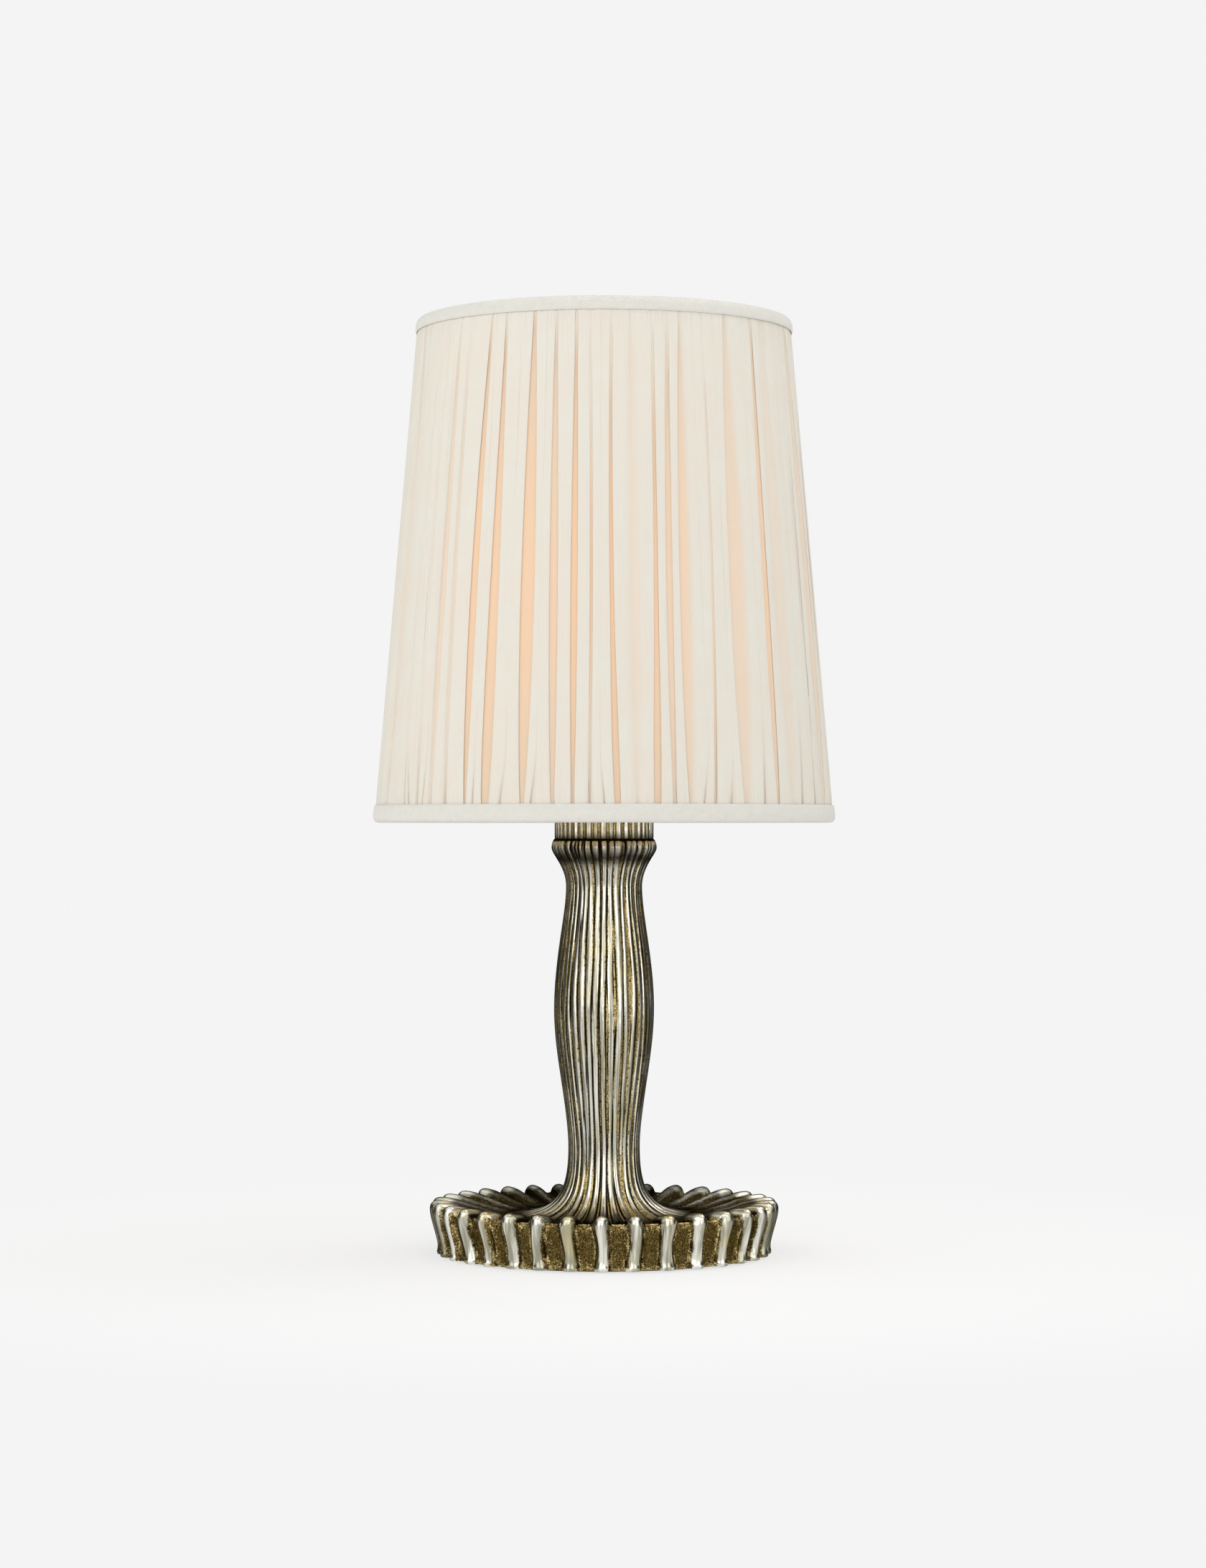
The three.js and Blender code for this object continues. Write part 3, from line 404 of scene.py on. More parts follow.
def casting_outline():
    """The tops of the ribs from the collar to the foot."""
    collar, bead, waist, belly = (19.9, 169.2), (21.4, 165.4), (15.6, 149.5), (20.45, 101)
    ankle, dish, rim_top = (14.6, ankle_height), (39, 16.9), (67.3, 22.6)
    rim, heel, foot, edge = (70.8, rim_height), (67.9, 6.5), (67.9, 2.0), (67.2, casting_foot)
    points = [collar]
    points += bend(collar, (20.7, 169.0), (21.4, 167.2), bead, 6)
    points += bend(bead, (21.4, 162.4), (15.6, 157.4), waist, 14)
    points += bend(waist, (15.6, 136.9), (20.45, 120.9), belly, 17)
    points += bend(belly, (20.45, 79.9), (14.6, 58.8), ankle, 19)
    points += bend(ankle, (14.6, 23.9), (20.0, 16.9), dish, 26)
    points += bend(dish, (50.0, 16.9), (58.0, 22.6), rim_top, 16)
    points += bend(rim_top, (69.8, 22.6), (70.9, 21.0), rim, 8)
    points += bend(rim, (70.7, 15.6), (68.7, 10.2), heel, 7)
    points += bend(heel, (67.4, 4.4), (67.6, 3.2), foot, 6)
    points += bend(foot, (67.9, 1.2), (67.7, 0.8), edge, 2)
    return points


def hump(across, power=0.6):
    """The height of a round rib at a share of its half width. A lower power gives it steeper sides."""
    return np.maximum(1 - across**2, 0) ** power


def bell(distance, width):
    return np.exp(-((distance / width) ** 2))


def across_rib(angle, spot, radius, breadth):
    """Where points are across a rib, from -1 at one of its feet to 1 at the other."""
    gap = np.mod(angle - spot + math.pi, math.tau) - math.pi
    return 2 * gap * radius / breadth


def travelled(line):
    """The way along an outline to each of its points."""
    return np.concatenate([[0], np.cumsum(np.linalg.norm(np.diff(line, axis=0), axis=1))])


def ribbed(name, shape, outline, angles_at, height_at, depth_at):
    """Moves the points of a turned bmesh into ribs. Its mesh gets the attributes that its finish reads."""
    near_point, near_angle = 2e-3, 1e-6
    unwrap_radius = 20
    full_turn = math.tau * unwrap_radius
    mesh = bpy.data.meshes.new(name)
    shape.to_mesh(mesh)
    shape.free()
    place = np.empty(3 * len(mesh.vertices))
    mesh.vertices.foreach_get("co", place)
    place = 1000 * place.reshape(-1, 3)
    line = np.array(outline)
    slope = np.gradient(line, axis=0)
    outward = np.stack([-slope[:, 1], slope[:, 0]], axis=1)
    outward /= np.linalg.norm(outward, axis=1)[:, None]
    outward[[0, -1]] = (1, 0)
    travel = travelled(line)
    radius = np.hypot(place[:, 0], place[:, 1])
    turn = np.arctan2(place[:, 1], place[:, 0]) + math.pi / 2
    turn = np.mod(turn + near_angle, math.tau) - near_angle
    marks = {mark: np.zeros(len(place)) for mark in ("rise", "glaze_and_shade", "gold_and_glint")}
    reach = np.full((len(place), 2), -1.0)
    for station, (out, high) in enumerate(outline):
        here = np.flatnonzero((abs(radius - out) < near_point) & (abs(place[:, 2] - high) < near_point))
        angle = angles_at(station, turn[here])
        share, rise, glaze_and_shade, gold_and_glint = height_at(station, angle)
        sink = depth_at(station) * (1 - share)
        new_radius = out - sink * outward[station, 0]
        place[here, 0] = new_radius * np.cos(angle)
        place[here, 1] = new_radius * np.sin(angle)
        place[here, 2] = high - sink * outward[station, 1]
        marks["rise"][here] = rise
        marks["glaze_and_shade"][here] = glaze_and_shade
        marks["gold_and_glint"][here] = gold_and_glint
        reach[here, 0] = angle
        reach[here, 1] = travel[station]
    mesh.vertices.foreach_set("co", (place / 1000).ravel())
    for mark, values in marks.items():
        mesh.attributes.new(mark, "FLOAT", "POINT").data.foreach_set("value", values)
    corner = np.empty(len(mesh.loops), int)
    mesh.loops.foreach_get("vertex_index", corner)
    around = reach[corner, 0] * unwrap_radius
    size = np.empty(len(mesh.polygons), int)
    mesh.polygons.foreach_get("loop_total", size)
    face = np.repeat(np.arange(len(size)), size)
    highest = np.full(len(size), -np.inf)
    np.maximum.at(highest, face, around)
    around = np.where(highest[face] - around > full_turn / 2, around + full_turn, around)
    unwrapped = np.stack([around, reach[corner, 1]], axis=1)
    mesh.uv_layers.new(name="UVMap").data.foreach_set("uv", unwrapped.ravel())
    return mesh


def leafed(name, mesh, node):
    """A ribbed piece of the lamp with its silver leaf."""
    mesh.shade_smooth()
    mesh.set_sharp_from_angle(angle=math.radians(50))
    show(name, mesh, leaf, "lamp", node)


def scatter(count, low, high):
    return np.array([chance.uniform(low, high) for _ in range(count)])


def cut_port_slot(mesh):
    """Cuts the charging port's slot, with chamfered ends, through the wall at the back."""
    shape = bmesh.new()
    shape.from_mesh(mesh)
    middle = Vector(mm(0, 62, 8.8))
    half_width, half_height, chamfer = mm(4.55, 1.65, 1.1)
    room_behind, room_aside, room_below, room_above = mm(55, 7, 3, 14)
    sloped = (half_width + half_height - chamfer) / math.sqrt(2)
    planes = []
    for eighth, distance in enumerate((half_width, sloped, half_height, sloped) * 2):
        turn = eighth * math.tau / 8
        planes.append((Vector((math.cos(turn), 0, math.sin(turn))), distance))

    def near(face):
        centre = face.calc_center_median()
        return centre.y > room_behind and abs(centre.x) < room_aside and room_below < centre.z < room_above

    for normal, distance in planes:
        faces = [face for face in shape.faces if near(face)]
        geom = list({part for face in faces for part in (face, *face.edges, *face.verts)})
        plane = {"plane_co": middle + normal * distance, "plane_no": normal}
        bmesh.ops.bisect_plane(shape, geom=geom, dist=merge_distance, **plane)
    inside = []
    for face in shape.faces:
        away = face.calc_center_median() - middle
        if near(face) and all(away.dot(normal) < distance for normal, distance in planes):
            inside.append(face)
    bmesh.ops.delete(shape, geom=inside, context="FACES")
    bmesh.ops.bridge_loops(shape, edges=[edge for edge in shape.edges if edge.is_boundary])
    bmesh.ops.recalc_face_normals(shape, faces=shape.faces)
    shape.to_mesh(mesh)
    shape.free()


def dish_and_stem():
    """The casting: ribs that crowd the stem, merge down its flare and stand out as round knobs on the rim."""
    columns_per_rib = 21
    knob_height, bead_height, lip_place = 20.5, 165.6, 1.22
    outline = casting_outline()
    dish_bore, dish_ceiling, stem_bore, stem_ceiling = 61.3, 11.5, 11.2, 160
    hollow = [(dish_bore, casting_foot), (dish_bore, dish_ceiling), (14.2, dish_ceiling), (stem_bore, 14.5)]
    hollow += [(stem_bore, stem_ceiling), (bore, stem_ceiling), (bore, outline[0][1])]
    shape = turned([*outline, *hollow, outline[0]], columns_per_rib * rim_ribs)
    line = np.array(outline)
    high = line[:, 1]
    travel = travelled(line)
    ankle = travel[int(np.argmin(abs(high - ankle_height) + (line[:, 0] > 20)))]
    flare = smooth((travel - ankle + 18) / 62)
    slope = np.gradient(line, axis=0)
    lying = np.clip(slope[:, 0] / np.linalg.norm(slope, axis=1), 0, 1)
    # How far each point of the outline belongs to the rim's wall, the dish's inside, the rim's round knobs,
    # the top and the foot of the wall, and the bead
    wall = smooth((line[:, 0] - 64) / 3) * (1 - lying)
    inner = lying * smooth((line[:, 0] - 26) / 14) * (1 - smooth((line[:, 0] - 60) / 6))
    knob = smooth((line[:, 0] - 56) / 7) * np.maximum(lying, bell(high - knob_height, 4.0))
    head = bell(high - knob_height, 5.0) * wall
    foot = bell(high - 1.5, 3) * wall
    bead = bell(high - bead_height, 4.5) * (1 - flare)
    broad_at = scatter(stem_ribs, 0.6, 1.3)
    top_at = scatter(stem_ribs, 0.78, 1.0)
    phase = scatter(stem_ribs, 0, math.tau)
    lip_at = scatter(2 * stem_ribs, 0, 1).reshape(2, -1)
    crease_at = scatter(2 * stem_ribs, 0, 1).reshape(2, -1)
    target = np.interp(even_spots, np.arange(rim_ribs + 1), wrapped(rim_angles))
    target[lasts] = rim_angles[partner[lasts] % rim_ribs] + math.tau * (partner[lasts] == rim_ribs)
    # Painted shade that goes all the way round: under the bead, at the collar, on the bead and in the dish
    shade = 0.72 * bell(high - 160.6, 3.4) + 0.9 * smooth((high - 167.6) / 1.0) + 0.35 * bead
    shade += 0.45 * bell(line[:, 0] - 30, 10) * (high < 30) + 0.75 * inner

    def middles(station):
        """The middle of each of the stem's ribs here, drawn towards the rim's ribs down the flare."""
        sway = 0.02 * np.sin(high[station] / 19 + phase) + 0.007 * np.sin(high[station] / 6.3 + 2.3 * phase)
        wobble = 0.008 * np.sin(high[station] / 4.2 + phase) * wall[station]
        return stem_angles + sway * (1 - flare[station]) + wobble + flare[station] * (target - stem_angles)

    def angles_at(station, turn):
        """Spreads the even columns so that the same ones follow each rib down the casting."""
        spots = wrapped(middles(station)[lasting])
        share = turn * rim_ribs / math.tau
        nearest = np.round(share)
        offset = share - nearest
        power = 1 + 0.65 * flare[station] * (1 - lying[station])
        crowd = np.sign(offset) * 0.5 * (2 * abs(offset)) ** power
        return np.interp(nearest + crowd, np.arange(rim_ribs + 1), spots)

    def height_at(station, angle):
        """How high each point of a ring stands between the valleys and the ribs' tops, and its finish."""
        radius = line[station, 0]
        pitch = math.tau * radius
        upright = (1.7 + 0.052 * radius) * (1 + 0.36 * head[station] + 0.3 * foot[station])
        broad = upright + (min(0.66 * pitch / rim_ribs, 7.6) - upright) * lying[station]
        slim = (0.8 + 0.12 * bead[station]) * pitch / stem_ribs
        widths = (slim + (broad - slim) * flare[station]) * (1 + (broad_at - 1) * (1 - 0.8 * flare[station]))
        tops = top_at * (1 - 0.12 * (1 + np.sin(high[station] / 7 + 2.7 * phase)) * (1 - flare[station]))
        tops = tops + (1 - tops) * np.maximum(flare[station], bead[station])
        tops = tops * np.where(lasts, 1, 1 - smooth(flare[station] / 0.6))
        roundness = 0.95 - 0.4 * np.maximum(wall[station], knob[station]) - 0.25 * bead[station]
        share = np.zeros(len(angle))
        rise = np.zeros(len(angle))
        glaze_and_shade = np.zeros(len(angle))
        # Gold painted brighter at the wall's top and foot as glints, and duller inside the dish as painted
        # shade
        edges = bell(high[station] - rim_height, 2.2) + bell(high[station], 2.4)
        even_gold_and_glint = 0.46 - 0.4 * wall[station] - 0.26 * inner[station] + 0.3 * wall[station] * edges
        gold_and_glint = np.full(len(angle), even_gold_and_glint)
        for number, (spot, breadth, top) in enumerate(zip(middles(station), widths, tops)):
            if top < 0.01:
                continue
            across = across_rib(angle, spot, radius, breadth)
            aside = (across > 0).astype(int)
            body = top * hump(across, roundness)
            share = np.maximum(share, body)
            skirt = 0.16 * knob[station] * np.exp(-np.maximum(abs(across) - 0.9, 0) / 0.45)
            share = np.maximum(share, skirt)
            worn = wall[station] * smooth((across - 0.2) / 0.7) * smooth(lip_at[1, number] * 2 - 0.3)
            # Less silver on the dish's inside ribs is painted shade
            rise = np.maximum(rise, body * (1 - 0.6 * worn) * (1 - 0.45 * inner[station]))
            broken = crease_at[aside, number] + 0.3 * math.sin(high[station] / 5 + 2 * phase[number])
            crease = smooth(broken * 2.2 - 0.3) * (1 - wall[station]) + 0.6 * wall[station]
            thick = 0.14 + 0.24 * crease_at[aside, number] * (1 - wall[station])
            glaze_and_shade = np.maximum(glaze_and_shade, 1.45 * top * crease * bell((abs(across) - 1.05) / thick, 1))
            lip_high = 0.3 * smooth(lip_at[aside, number] * 1.8 - 0.2) * wall[station] * (1 - edges)
            share = np.maximum(share, lip_high * hump((abs(across) - lip_place) / 0.2))
            near_rib = wall[station] * (bell(abs(across) - lip_place, 0.16) + 0.7 * worn * (across < 1))
            gold_and_glint = np.maximum(gold_and_glint, 0.45 * near_rib)
        return share, rise, np.maximum(glaze_and_shade * (1 - 0.35 * wall[station]), shade[station]), gold_and_glint

    def depth_at(station):
        return 0.55 + 0.056 * max(line[station, 0] - 20, 0) + 0.5 * bead[station] + 1.1 * knob[station]

    mesh = ribbed("dish_and_stem_mesh", shape, outline, angles_at, height_at, depth_at)
    cut_port_slot(mesh)
    leafed("ribbed_casting", mesh, "dish_and_stem")


def neck_cup():
    """The cup above the bead, with narrow upright ribs."""
    columns_per_rib = 16
    hollow_radius, hollow_top = 15.9, 183.3
    outline = [(neck_radius, high) for high in (neck_top, 182, 177.5, 173, neck_bottom)]
    hollow = [(hollow_radius, neck_bottom), (hollow_radius, hollow_top), (bore, hollow_top), (bore, neck_top)]
    shape = turned([*outline, *hollow, outline[0]], columns_per_rib * stem_ribs)
    broad_at = scatter(stem_ribs, 1.7, 2.6)

    def angles_at(station, turn):
        return np.interp(turn * stem_ribs / math.tau, np.arange(stem_ribs + 1), wrapped(stem_angles))

    def height_at(station, angle):
        share = np.zeros(len(angle))
        # The cup's foot by the collar is darkened with painted shade
        glaze_and_shade = np.full(len(angle), 0.8 * smooth((171.5 - outline[station][1]) / 2))
        for spot, breadth in zip(stem_angles, broad_at):
            across = across_rib(angle, spot, neck_radius, breadth)
            share = np.maximum(share, hump(across))
            glaze_and_shade = np.maximum(glaze_and_shade, 0.8 * bell(abs(across) - 1.1, 0.2))
        # The cup's gold share, higher than the stem's, is partly painted warm light from the lit shade above
        return share, share, glaze_and_shade, 0.6

    mesh = ribbed("neck_mesh", shape, outline, angles_at, height_at, lambda station: 0.8)
    leafed("ribbed_neck", mesh, "neck_cup")


dish_and_stem()
neck_cup()

# The shade

shade_bottom, shade_top = 175.5, 379.5
shade_radius, shade_taper = 93.4, 17.8
edge_inset = 0.9


def cone(height):
    """The radius of the cloth at a height, along the tops of its folds."""
    return shade_radius - shade_taper / (shade_top - shade_bottom) * (height - shade_bottom)


# A gap between two folds of the cover. Its top, middle and foot are where its centre line is at those
# heights, in degrees round from the front. Its width is in millimetres, and it is foot_open wide at the foot.
# Left and right say how soft its edges are, and light how much it lets through, all from 0 to 1. A gap that
# is less tall than 1 is a short crease, up to that share of the height. A lower power puts its widest place
# lower down.
Gap = namedtuple("Gap", "top middle foot width left right light foot_open tall power", defaults=(0, 1, 0.8))

front_gaps = [
    Gap(-69.5, -68.8, -70, 6, 1, 1, 0.25),
    Gap(-61.2, -60.4, -57.8, 0.2, 0.2, 0, 0.2),
    Gap(-58, -58, -56, 0, 0.1, 0.1, 0, 0, 0.18),
    Gap(-52, -54, -52, 0.6, 0.5, 0.3, 0.2),
    Gap(-49.5, -49.5, -50.5, 0, 0.1, 0.1, 0, 0, 0.2),
    Gap(-47.5, -47.8, -47.3, 2.9, 1, 0.3, 0.45),
    Gap(-43, -43.4, -42, 1.6, 0.8, 0.1, 0.35),
    Gap(-34.5, -36.2, -35.5, 3.2, 0.15, 0, 0.95),
    Gap(-33.2, -33.2, -33.5, 0, 0.1, 0.1, 0, 0, 0.15),
    Gap(-29.7, -29.9, -29.9, 4.0, 0, 0.1, 0.9, 1, 1, 0.55),
    Gap(-24.6, -24.6, -26, 0, 0.1, 0.1, 0, 0, 0.14),
    Gap(-20.7, -20.3, -20, 5.4, 0, 0.25, 0.9),
    Gap(-16.6, -16.6, -18, 0, 0.1, 0.1, 0, 0, 0.16),
    Gap(-13.9, -13.2, -12.2, 3, 0.4, 0, 0.8),
    Gap(-8, -7.8, -7.5, 2.6, 0, 0, 1),
    Gap(-4, -3.3, -3.5, 0.9, 0, 0, 0.9),
    Gap(-1, -1, 0.3, 0, 0.1, 0.1, 0, 0, 0.15),
    Gap(2.2, 1.9, 3.4, 1.5, 0, 0, 1, 2),
    Gap(7.7, 7.8, 8, 3.7, 1, 1, 0.3),
    Gap(14.1, 13.7, 12.8, 1.6, 0.1, 0, 0.9, 1.8, 1, 0.6),
    Gap(18.8, 17.3, 17.2, 2.2, 0.3, 0.3, 0.7),
    Gap(22.5, 21.5, 21.2, 4.2, 0, 1, 0.65),
    Gap(26.2, 26.2, 24.5, 0, 0.1, 0.1, 0, 0, 0.15),
    Gap(29.7, 29.6, 27.5, 0.6, 0, 0, 1, 0.5),
    Gap(33.2, 33.2, 32, 0, 0.1, 0.1, 0, 0, 0.13),
    Gap(37.9, 37.5, 36.8, 7.4, 0.1, 0.9, 0.5),
    Gap(44.3, 44.3, 42.5, 0.2, 0.3, 0.3, 0.2),
    Gap(49, 48, 47.4, 2.9, 0.1, 0.4, 0.8),
    Gap(54, 54, 54, 8, 1, 1, 0.25),
    Gap(62, 61, 57.5, 0.3, 0.3, 0.3, 0.1),
    Gap(66.5, 66.3, 65, 0.8, 0.5, 0.5, 0.2),
    Gap(71, 73.2, 71.5, 7, 0.7, 0.7, 0.45),
]

# Across the edge of a fold: the way from the edge, the depth, and how much light it lets through from 0 to 1.
# A crisp edge laps over the single cloth and turns back under, and a soft one slopes down to it.
single_depth = 0.62
crisp_edge = [
    (0, single_depth, 1),
    (1.5, single_depth, 0.9),
    (1.5, 0.42, 0.2),
    (0.2, 0.4, 0),
    (0, 0.25, 0.1),
    (0.12, 0.06, 0),
    (0.6, 0, 0),
]
soft_edge = [
    (-0.6, 0.6, 1),
    (-0.2, 0.5, 0.8),
    (0.2, 0.4, 0.55),
    (0.7, 0.28, 0.35),
    (1.3, 0.17, 0.2),
    (2, 0.08, 0.08),
    (3, 0, 0),
]
fold_columns = 6


def back_gaps():
    """Gaps like the front ones round the back."""
    gaps = []
    turn, end = 80.0, 281
    while turn < end:
        lean, bow = chance.uniform(-1, 1), chance.uniform(-0.8, 0.8)
        width = chance.choice([0, 0.6, 1.3, 2, 3, 4.4, 6.5])
        edges = [chance.choice([0, 0, 0.2, 0.9]) for _ in range(2)]
        gaps.append(Gap(turn - lean, turn + bow, turn + lean, width, *edges, chance.uniform(0.3, 1)))
        turn += chance.uniform(8, 13) + width / 2
    return gaps


def unwrap_round(shape, radius, slope=0):
    """A UV map in millimetres, unrolled at a radius. A slope adds that share of the way out to the height."""
    uv = shape.loops.layers.uv.new("UVMap")
    for face in shape.faces:
        angles = [math.atan2(loop.vert.co.y, loop.vert.co.x) for loop in face.loops]
        highest = max(angles)
        for loop, angle in zip(face.loops, angles):
            angle += math.tau if highest - angle > math.pi else 0
            out = math.hypot(loop.vert.co.x, loop.vert.co.y)
            loop[uv].uv = (radius * angle, 1000 * (loop.vert.co.z + slope * out))


def gathered_cover():
    """The cover: flat folds that lap over one layer of cloth, drawn together under both bands."""
    gaps = front_gaps + back_gaps()
    count = len(gaps)
    rows = 41
    row_crowding = 0.13
    even = np.linspace(0, 1, rows)
    share = even - row_crowding * np.sin(math.tau * even)
    heights = shade_bottom + edge_inset + (shade_top - shade_bottom - 2 * edge_inset) * share
    open_width, least_fold, glow_height = 1.2, 6.4, 270
    dart_height, crease_height, open_foot_height = 0.14, 0.16, 0.45
    foot_seam, top_seam, foot_band, top_band, band_fade = 7, 5.5, 9, 7.5, 3
    edge_columns = len(crisp_edge)
    columns = 1 + 2 * edge_columns + fold_columns
    last = columns - edge_columns
    lift = [chance.uniform(-0.06, 0.07) for _ in gaps]
    shape = bmesh.new()
    bmesh.ops.create_grid(shape, x_segments=count * columns, y_segments=rows - 1, size=0.5)
    marks = [shape.verts.layers.float.new(name) for name in ("gap", "glow", "rumple", "crease_shade")]

    def gap_at(number, row):
        """Where the middle of a gap is in a row, half its width, its depth and how far it is open."""
        gap = gaps[number % count]
        up = share[row]
        bow = 4 * up * (1 - up)
        turn = gap.foot + (gap.top - gap.foot) * up + (gap.middle - (gap.foot + gap.top) / 2) * bow
        if gap.tall < 1:
            turn = gap.foot + (gap.middle - gap.foot) * float(smooth(up / dart_height))
        lens = math.sin(math.pi * up**gap.power) ** 0.8 if 0 < up < 1 else 0
        width = gap.width * lens + gap.foot_open * float(1 - smooth(up / open_foot_height)) * (up > 0)
        held = float(1 - smooth(up / gap.tall)) if gap.tall < 1 else 1
        opening = float(smooth(width / open_width))
        depth = opening + (1 - opening) * (0.35 + 0.95 * float(1 - smooth(up / crease_height)))
        turn = math.radians(turn - 90) + (math.tau if number >= count else 0)
        return turn, width / 2, depth * held, opening

    places = [[gap_at(number, row) for row in range(rows)] for number in range(count + 2)]

    def edge_at(number, row, side, step):
        """A point across the edge of a gap: its way past the edge, its depth and what it lets through.
        Where the gap is shut, the edge is a narrow crease with nothing folded under."""
        gap = gaps[number % count]
        soft = gap.right if side > 0 else gap.left
        half, opening = places[number][row][1], places[number][row][3]
        crisp = crisp_edge[step]
        slope = soft_edge[step]
        slope_way = slope[0] * half if slope[0] < 0 else slope[0]
        way, depth, shows = (a + (b - a) * soft for a, b in zip(crisp, (slope_way, *slope[1:])))
        shut = slope_way * (0.45 + 0.55 * soft)
        return shut + (way - shut) * opening, slope[1] + (depth - slope[1]) * opening, shows

    for vert in shape.verts:
        column = round((vert.co.x + 0.5) * count * columns)
        row = round((vert.co.y + 0.5) * (rows - 1))
        up = share[row]
        fold, spot = divmod(column, columns)
        height = heights[row]
        radius = cone(height)
        before, half_before, depth_before, open_before = places[fold][row]
        after, half_after, depth_after, open_after = places[fold + 1][row]
        fold_width = (after - before) * radius - half_before - half_after
        shrink = min(1, fold_width / least_fold)
        shows = depth = crease_shade = softness = 0
        if spot == 0:
            angle = before
            depth = single_depth * depth_before
            shows = open_before * gaps[fold % count].light
            crease_shade = 0.9 * (1 - open_before) * depth_before
        elif spot <= edge_columns:
            way, depth, shows = edge_at(fold, row, 1, spot - 1)
            angle = before + (half_before + way * shrink) / radius
            depth *= depth_before
            softness = gaps[fold % count].right
            shows *= open_before * gaps[fold % count].light
            crease_shade = (1 - open_before) * depth_before * math.exp(-max(way, 0) / 0.5)
        elif spot >= last:
            way, depth, shows = edge_at(fold + 1, row, -1, columns - 1 - spot)
            angle = after - (half_after + way * shrink) / radius
            depth *= depth_after
            softness = gaps[(fold + 1) % count].left
            shows *= open_after * gaps[(fold + 1) % count].light
            crease_shade = (1 - open_after) * depth_after * math.exp(-max(way, 0) / 0.5)
        else:
            start = before + (half_before + edge_at(fold, row, 1, edge_columns - 1)[0] * shrink) / radius
            end = after - (half_after + edge_at(fold + 1, row, -1, edge_columns - 1)[0] * shrink) / radius
            angle = start + (end - start) * (spot - edge_columns) / (fold_columns + 1)
        if depth < 0.3:
            depth += 0.08 + lift[fold % count] * min(1, fold_width / 8)
            depth += 0.05 * math.sin(3.1 * fold + height / 23)
        foot_way = height - shade_bottom - foot_seam
        gathers = math.exp(-abs(foot_way) / 9) + math.exp(-abs(shade_top - top_seam - height) / 7)
        depth += 0.1 * gathers * (1 + math.sin(angle * 130 + 0.1 * foot_way + 2 * fold))
        under_foot_tape = smooth((shade_bottom + foot_band - height) / band_fade)
        under_top_tape = smooth((height - shade_top + top_band) / band_fade)
        band = float(max(under_foot_tape, under_top_tape))
        radius -= max(depth, 0) * (1 - 0.4 * band) + 0.35 * band
        vert.co = mm(radius * math.cos(angle), radius * math.sin(angle), height)
        side = abs(math.sin((angle + math.pi / 2) / 2))
        rumple = 0.1 + 0.5 * gathers + 0.5 * float(smooth((side - 0.3) / 0.3))
        # Less painted glow on a soft edge's slope stands for painted shade there
        glow = float(bell(height - glow_height, 90)) * (1 - 0.7 * softness * (spot > 2))
        # The creases' painted shade fades out above the foot
        crease_shade = min(crease_shade, 1) * float(1 - smooth((up - 0.1) / 0.12))
        for mark, value in zip(marks, (shows, glow, rumple, crease_shade)):
            vert[mark] = value
    bmesh.ops.remove_doubles(shape, verts=shape.verts, dist=merge_distance)
    unwrap_round(shape, 85)
    made = piece("gathered_cover", shape, linen, "shade", "shade_cover", crease=180)
    wall = made.modifiers.new("cloth", "SOLIDIFY")
    wall.thickness = mm(0.14)
    wall.offset = -1
    mm(640, 203)


def arc(middle, radius, start, end, steps):
    """Points round part of a circle in the outline's plane, in degrees."""
    turns = [math.radians(start + (end - start) * step / steps) for step in range(steps + 1)]
    return [(middle[0] + radius * math.cos(turn), middle[1] + radius * math.sin(turn)) for turn in turns]


def edge_tape(name, edge, height, direction, node):
    """The tape folded round an edge of the shade: rounded over the edge, with a leg down each side."""

    def at(rise, inset):
        """A point so far up from the edge, or down from the top one, and so far in from the cloth."""
        return (cone(edge + direction * rise) - inset, edge + direction * rise)

    outline = [at(height, -0.05), at(height - 0.35, -0.42), at(height - 1.2, -0.55)]
    outline += [at(0.5 * height, -0.62), at(2.2, -0.5), at(1.1, -0.2), at(0.4, 0.5), at(0.05, 1.6)]
    outline += [at(0, 2.8), at(0.15, 4.4), at(0.7, 5.5), at(1.6, 5.9), at(1.9, 5.6), at(1.6, 5.4)]
    outline += [at(0.75, 5.0), at(0.6, 2.6), at(0.75, 0.7), at(2.4, 0.1), at(0.5 * height, 0.02)]
    outline.append(at(height - 0.3, 0.15))
    shape = turned([*outline, outline[0]], 180)
    unwrap_round(shape, 90, 0.3)
    made = piece(name, shape, tape, "shade", node, crease=60)
    around = math.tau * cone(edge)
    mm(around, height + 6)


gathered_cover()
edge_tape("bottom_tape", shade_bottom, 7.2, 1, "bottom_band")
edge_tape("top_tape", shade_top, 5.6, -1, "top_band")

# Smooth turned pieces

shade_steps = 160


def globe():
    centre, radius, thickness, neck_angle = 262.7, 24, 1, -51
    outline = arc((0, centre), radius, neck_angle, 90, 26)
    outline[-1] = (0, centre + radius)
    outline.append((0, centre + radius - thickness))
    outline += arc((0, centre), radius - thickness, 90, neck_angle, 20)[1:]
    piece("lit_globe", turned([*outline, outline[0]], 64), opal, "bulb", "bulb_globe")


def lining():
    outer_inset, inner_inset = 2, 2.5
    low, high = shade_bottom + edge_inset, shade_top - edge_inset
    outline = [(cone(level) - outer_inset, level) for level in (low, high)]
    outline += [(cone(level) - inner_inset, level) for level in (high, low)]
    shape = turned([*outline, outline[0]], shade_steps)
    piece("smooth_lining", shape, card, "shade", "shade_lining")


def lower_ring():
    level, inset, wire_radius = 177.5, 3.9, 1.1
    outline = arc((cone(level) - inset, level), wire_radius, 0, 360, 12)
    outline[-1] = outline[0]
    piece("lower_ring", turned(outline, shade_steps), zinc, "shade", "bottom_ring")


